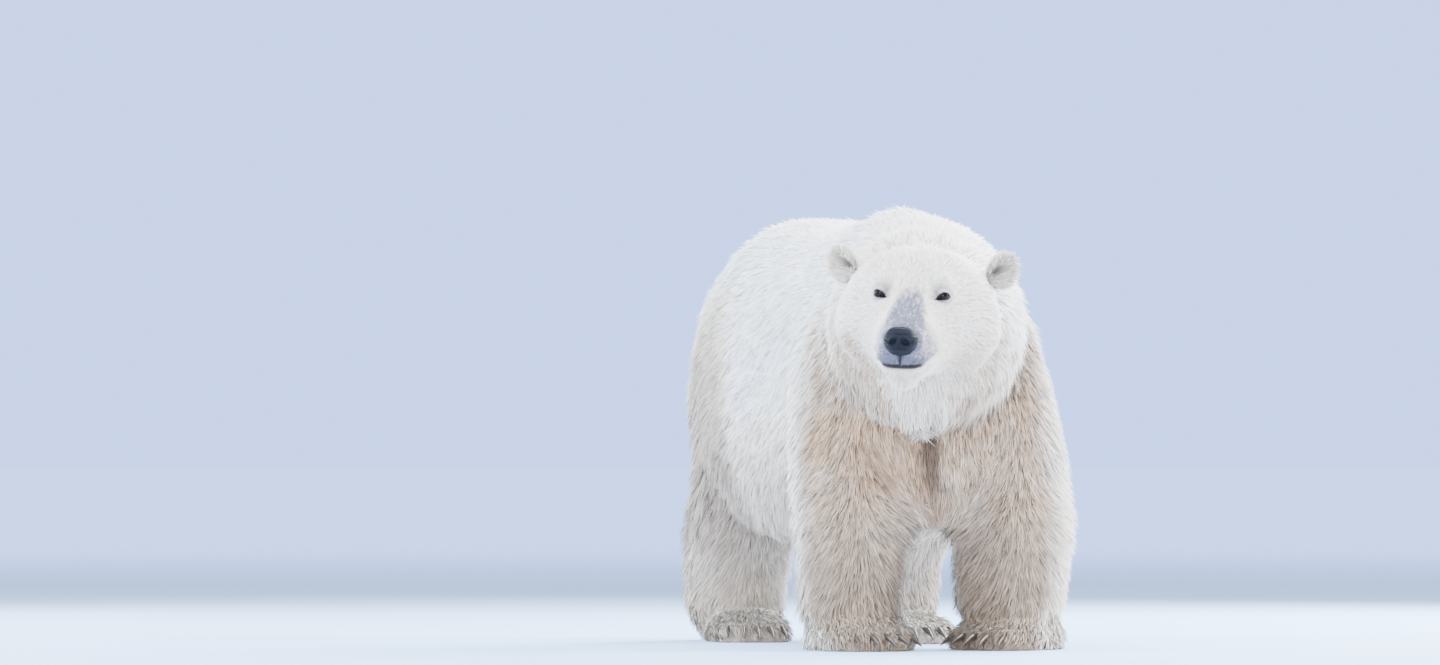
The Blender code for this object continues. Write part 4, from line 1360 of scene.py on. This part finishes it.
def add_eyes(material):
    """Each eye as a ball that bulges a little where it looks."""
    around, rings = 48, 28
    for name, side in (("left", 1), ("right", -1)):
        centre, look, out, up = eye_axes(side)
        points, gaze = [], []
        for i in range(rings + 1):
            angle = math.pi * i / rings
            reach = EYE_RADIUS * (1 + 0.02 * bell(angle, 0.45))
            for k in range(around):
                a = 2 * math.pi * k / around
                turned = out * math.cos(a) + up * math.sin(a)
                ray = look * math.cos(angle) + turned * math.sin(angle)
                points.append(centre + reach * ray)
                gaze.append(min(1.0, angle / 1.1))
        faces = np.array(ring_faces(around, rings, inward=side > 0))
        mesh = mesh_from(f"eyeball_{name}", from_head(np.array(points)), faces, gaze=gaze)
        close_poles(mesh)
        add_piece(mesh.name, mesh, material, [f"eye_{name}"])


# The nose pad's half width and depth at each height, from its bottom to its top, as shares.
NOSE_WIDE = (
    (-1, -0.95, -0.85, -0.55, -0.2, 0.05, 0.26, 0.36, 0.5, 0.75, 0.90, 0.97, 1),
    (0, 0.36, 0.56, 0.84, 0.98, 1.0, 1.0, 0.94, 0.89, 0.75, 0.56, 0.36, 0),
)
NOSE_DEEP = (
    (-1, -0.9, -0.7, -0.3, 0.1, 0.5, 0.8, 0.94, 1),
    (0, 0.50, 0.80, 1.0, 1.0, 0.92, 0.74, 0.42, 0),
)


def add_nose(material):
    """The nose pad: broad and flat on top, narrower below, with nostrils, slits and a groove."""
    tilt = np.array(turn_matrix(0, -14, 0).to_3x3())
    around, rows = 120, 84
    a = np.tile(2 * np.pi * np.arange(around) / around, rows + 1)
    height = np.repeat(np.cos(np.pi * np.arange(rows + 1) / rows), around)
    x, y = np.cos(a), np.sin(a)
    x = np.interp(height, *NOSE_WIDE) * NOSE_SIZE[0] * np.sign(x) * np.abs(x) ** 0.92
    y = np.interp(height, *NOSE_DEEP) * NOSE_SIZE[1] * np.sign(y) * np.abs(y) ** 0.85
    points = np.stack([x, y, height * NOSE_SIZE[2]], 1)
    x, y, z = points.T
    inward = 0.0030 * bell(x, 0.0026) * ramp(-0.004 - z, 0, 0.010)
    for side in (-1, 1):
        rise = z - NOSTRIL[1]
        lean = x - side * NOSTRIL[0] + side * 0.25 * rise
        inward += 0.0062 * np.exp(-(((lean / 0.0070) ** 2 + (rise / 0.0058) ** 2) ** 2))
        inward -= 0.0020 * bell(np.hypot(lean, rise) - 0.0115, 0.0035)
        run = (x * side - 0.018) / 0.022
        slit = bell(z + 0.008 - 0.014 * np.clip(run, 0, 1) ** 1.6, 0.0030)
        inward += 0.0050 * slit * ramp(run, -0.1, 0.2) * ramp(1.15 - run, 0, 0.25)
    points[:, 1] += inward * ramp(-y, 0.002, 0.012)
    shown = from_head(points @ tilt.T + np.array(NOSE_PLACE))
    mesh = mesh_from("nose", shown, np.array(ring_faces(around, rows)))
    close_poles(mesh)
    add_piece("nose", mesh, material, ["nose_pad"])


def claw(place, around=14, steps=16):
    """One curved claw as rings of corners, with how far along it each is, 0 at its root."""
    points, along = [], []
    for i in range(steps + 1):
        run = -0.018 + 0.068 * i / steps
        s = max(run / CLAW_LENGTH, 0.0)
        drop = CLAW_LENGTH * 0.52 * s * math.sin(math.radians(10 + 48 * s))
        radius = CLAW_RADIUS * (1.0 - 0.86 * s**1.6)
        for k in range(around):
            a = 2 * math.pi * k / around
            keel = 1.0 + 0.18 * max(math.sin(a), 0) ** 3
            height = 0.034 - drop + radius * keel * math.sin(a)
            points.append(place @ Vector((0.70 * radius * math.cos(a), -run, height)))
            along.append(s)
    faces = ring_faces(around, steps)
    for ring in (0, steps * around):
        pole = len(points)
        points.append(sum(points[ring : ring + around], Vector()) / around)
        along.append(along[ring])
        faces += [(ring + k, ring + (k + 1) % around, pole) for k in range(around)]
    return points, faces, along


def add_claws(material):
    """Five curved claws on each paw, thick at the root, keeled above and worn to a blunt point."""
    for end, (length, half_width) in PAWS.items():
        for side in ("left", "right"):
            centre, turned = paw_centre(end, side)
            paw = Matrix.Translation(Vector(centre)) @ Matrix.Rotation(turned, 4, "Z")
            made = bmesh.new()
            layer = made.verts.layers.float.new("tip")
            for toe in range(5):
                across = (toe - 2) / 2
                splay = Matrix.Rotation(math.radians(12.0) * across, 4, "Z")
                start = splay @ Vector((0, -0.145 * length, 0))
                x = 0.74 * half_width * across - start.x
                y = -0.44 * length + 0.09 * length * across**2 + start.y
                points, faces, along = claw(paw @ Matrix.Translation((x, y, 0)) @ splay)
                added = []
                for point, value in zip(points, along):
                    vertex = made.verts.new(point)
                    vertex[layer] = value
                    added.append(vertex)
                for face in faces:
                    made.faces.new([added[k] for k in face])
            bmesh.ops.recalc_face_normals(made, faces=made.faces)
            mesh = bpy.data.meshes.new(f"claws_{end}_{side}")
            made.to_mesh(mesh)
            made.free()
            mesh.shade_smooth()
            nodes = [f"claw_{end}_{side}_{toe + 1}" for toe in range(5)]
            add_piece(mesh.name, mesh, material, nodes)


# The stage.


def add_floor(material):
    mesh = bpy.data.meshes.new("floor")
    half = 1500.0
    edge = [(-half, -half, 0), (half, -half, 0), (half, half, 0), (-half, half, 0)]
    mesh.from_pydata(edge, [], [(0, 1, 2, 3)])
    mesh.materials.append(material)
    link(bpy.data.objects.new("floor", mesh))


def add_light(name, place, aim, size, power, colour):
    data = bpy.data.lights.new(name, "AREA")
    data.shape = "DISK"
    data.size = size
    data.energy = power
    data.color = colour
    light = link(bpy.data.objects.new(name, data))
    light.location = place
    light.rotation_euler = (Vector(aim) - Vector(place)).to_track_quat("-Z", "Y").to_euler()


def add_lights():
    world = bpy.data.worlds.new("studio")
    bpy.context.scene.world = world
    world.use_nodes = True
    n = Nodes(world.node_tree)
    seen = n.add("ShaderNodeLightPath").outputs["Is Camera Ray"]
    room = tuple(ROOM_STRENGTH * c for c in ROOM_COLOUR)
    n.feed_all(world.node_tree.nodes["Background"], color=n.mix(seen, SOFT_LIGHT, room))
    for light in LIGHTS:
        add_light(*light)


def add_camera():
    """The camera stands low, a little to the bear's right, far off with a long lens."""
    data = bpy.data.cameras.new("camera")
    data.sensor_width = 36.0
    data.lens = CAMERA_LENS
    data.clip_end = 3000.0
    camera = link(bpy.data.objects.new("camera", data))
    azimuth, yaw, pitch = (math.radians(angle) for angle in CAMERA_TURNS)
    feet = Vector((0, FOREFEET["right"][1], 0)) + Vector(SHIFT)
    back = Vector((math.sin(azimuth), -math.cos(azimuth), 0))
    camera.location = feet + back * CAMERA_DISTANCE
    camera.location.z = CAMERA_HEIGHT
    camera.rotation_euler = (math.pi / 2 + pitch, 0, azimuth + yaw)
    bpy.context.scene.camera = camera


def dress():
    group = coat_colour_group()
    coat = coat_material(group)
    mesh, points, normals, shares, kind, marks = skin_with_markings()
    skin = add_piece("skin", mesh, skin_material(group), FLESH + ["ear_left", "ear_right"])
    unwrapped(skin)
    roots = grown_coat(skin, points, normals, shares, kind, marks)
    coat_pieces(roots, coat_arrays(roots), coat)
    add_eyes(eye_material())
    add_nose(nose_material())
    add_claws(horn_material())
    add_floor(floor_material())
    add_lights()
    add_camera()


dress()
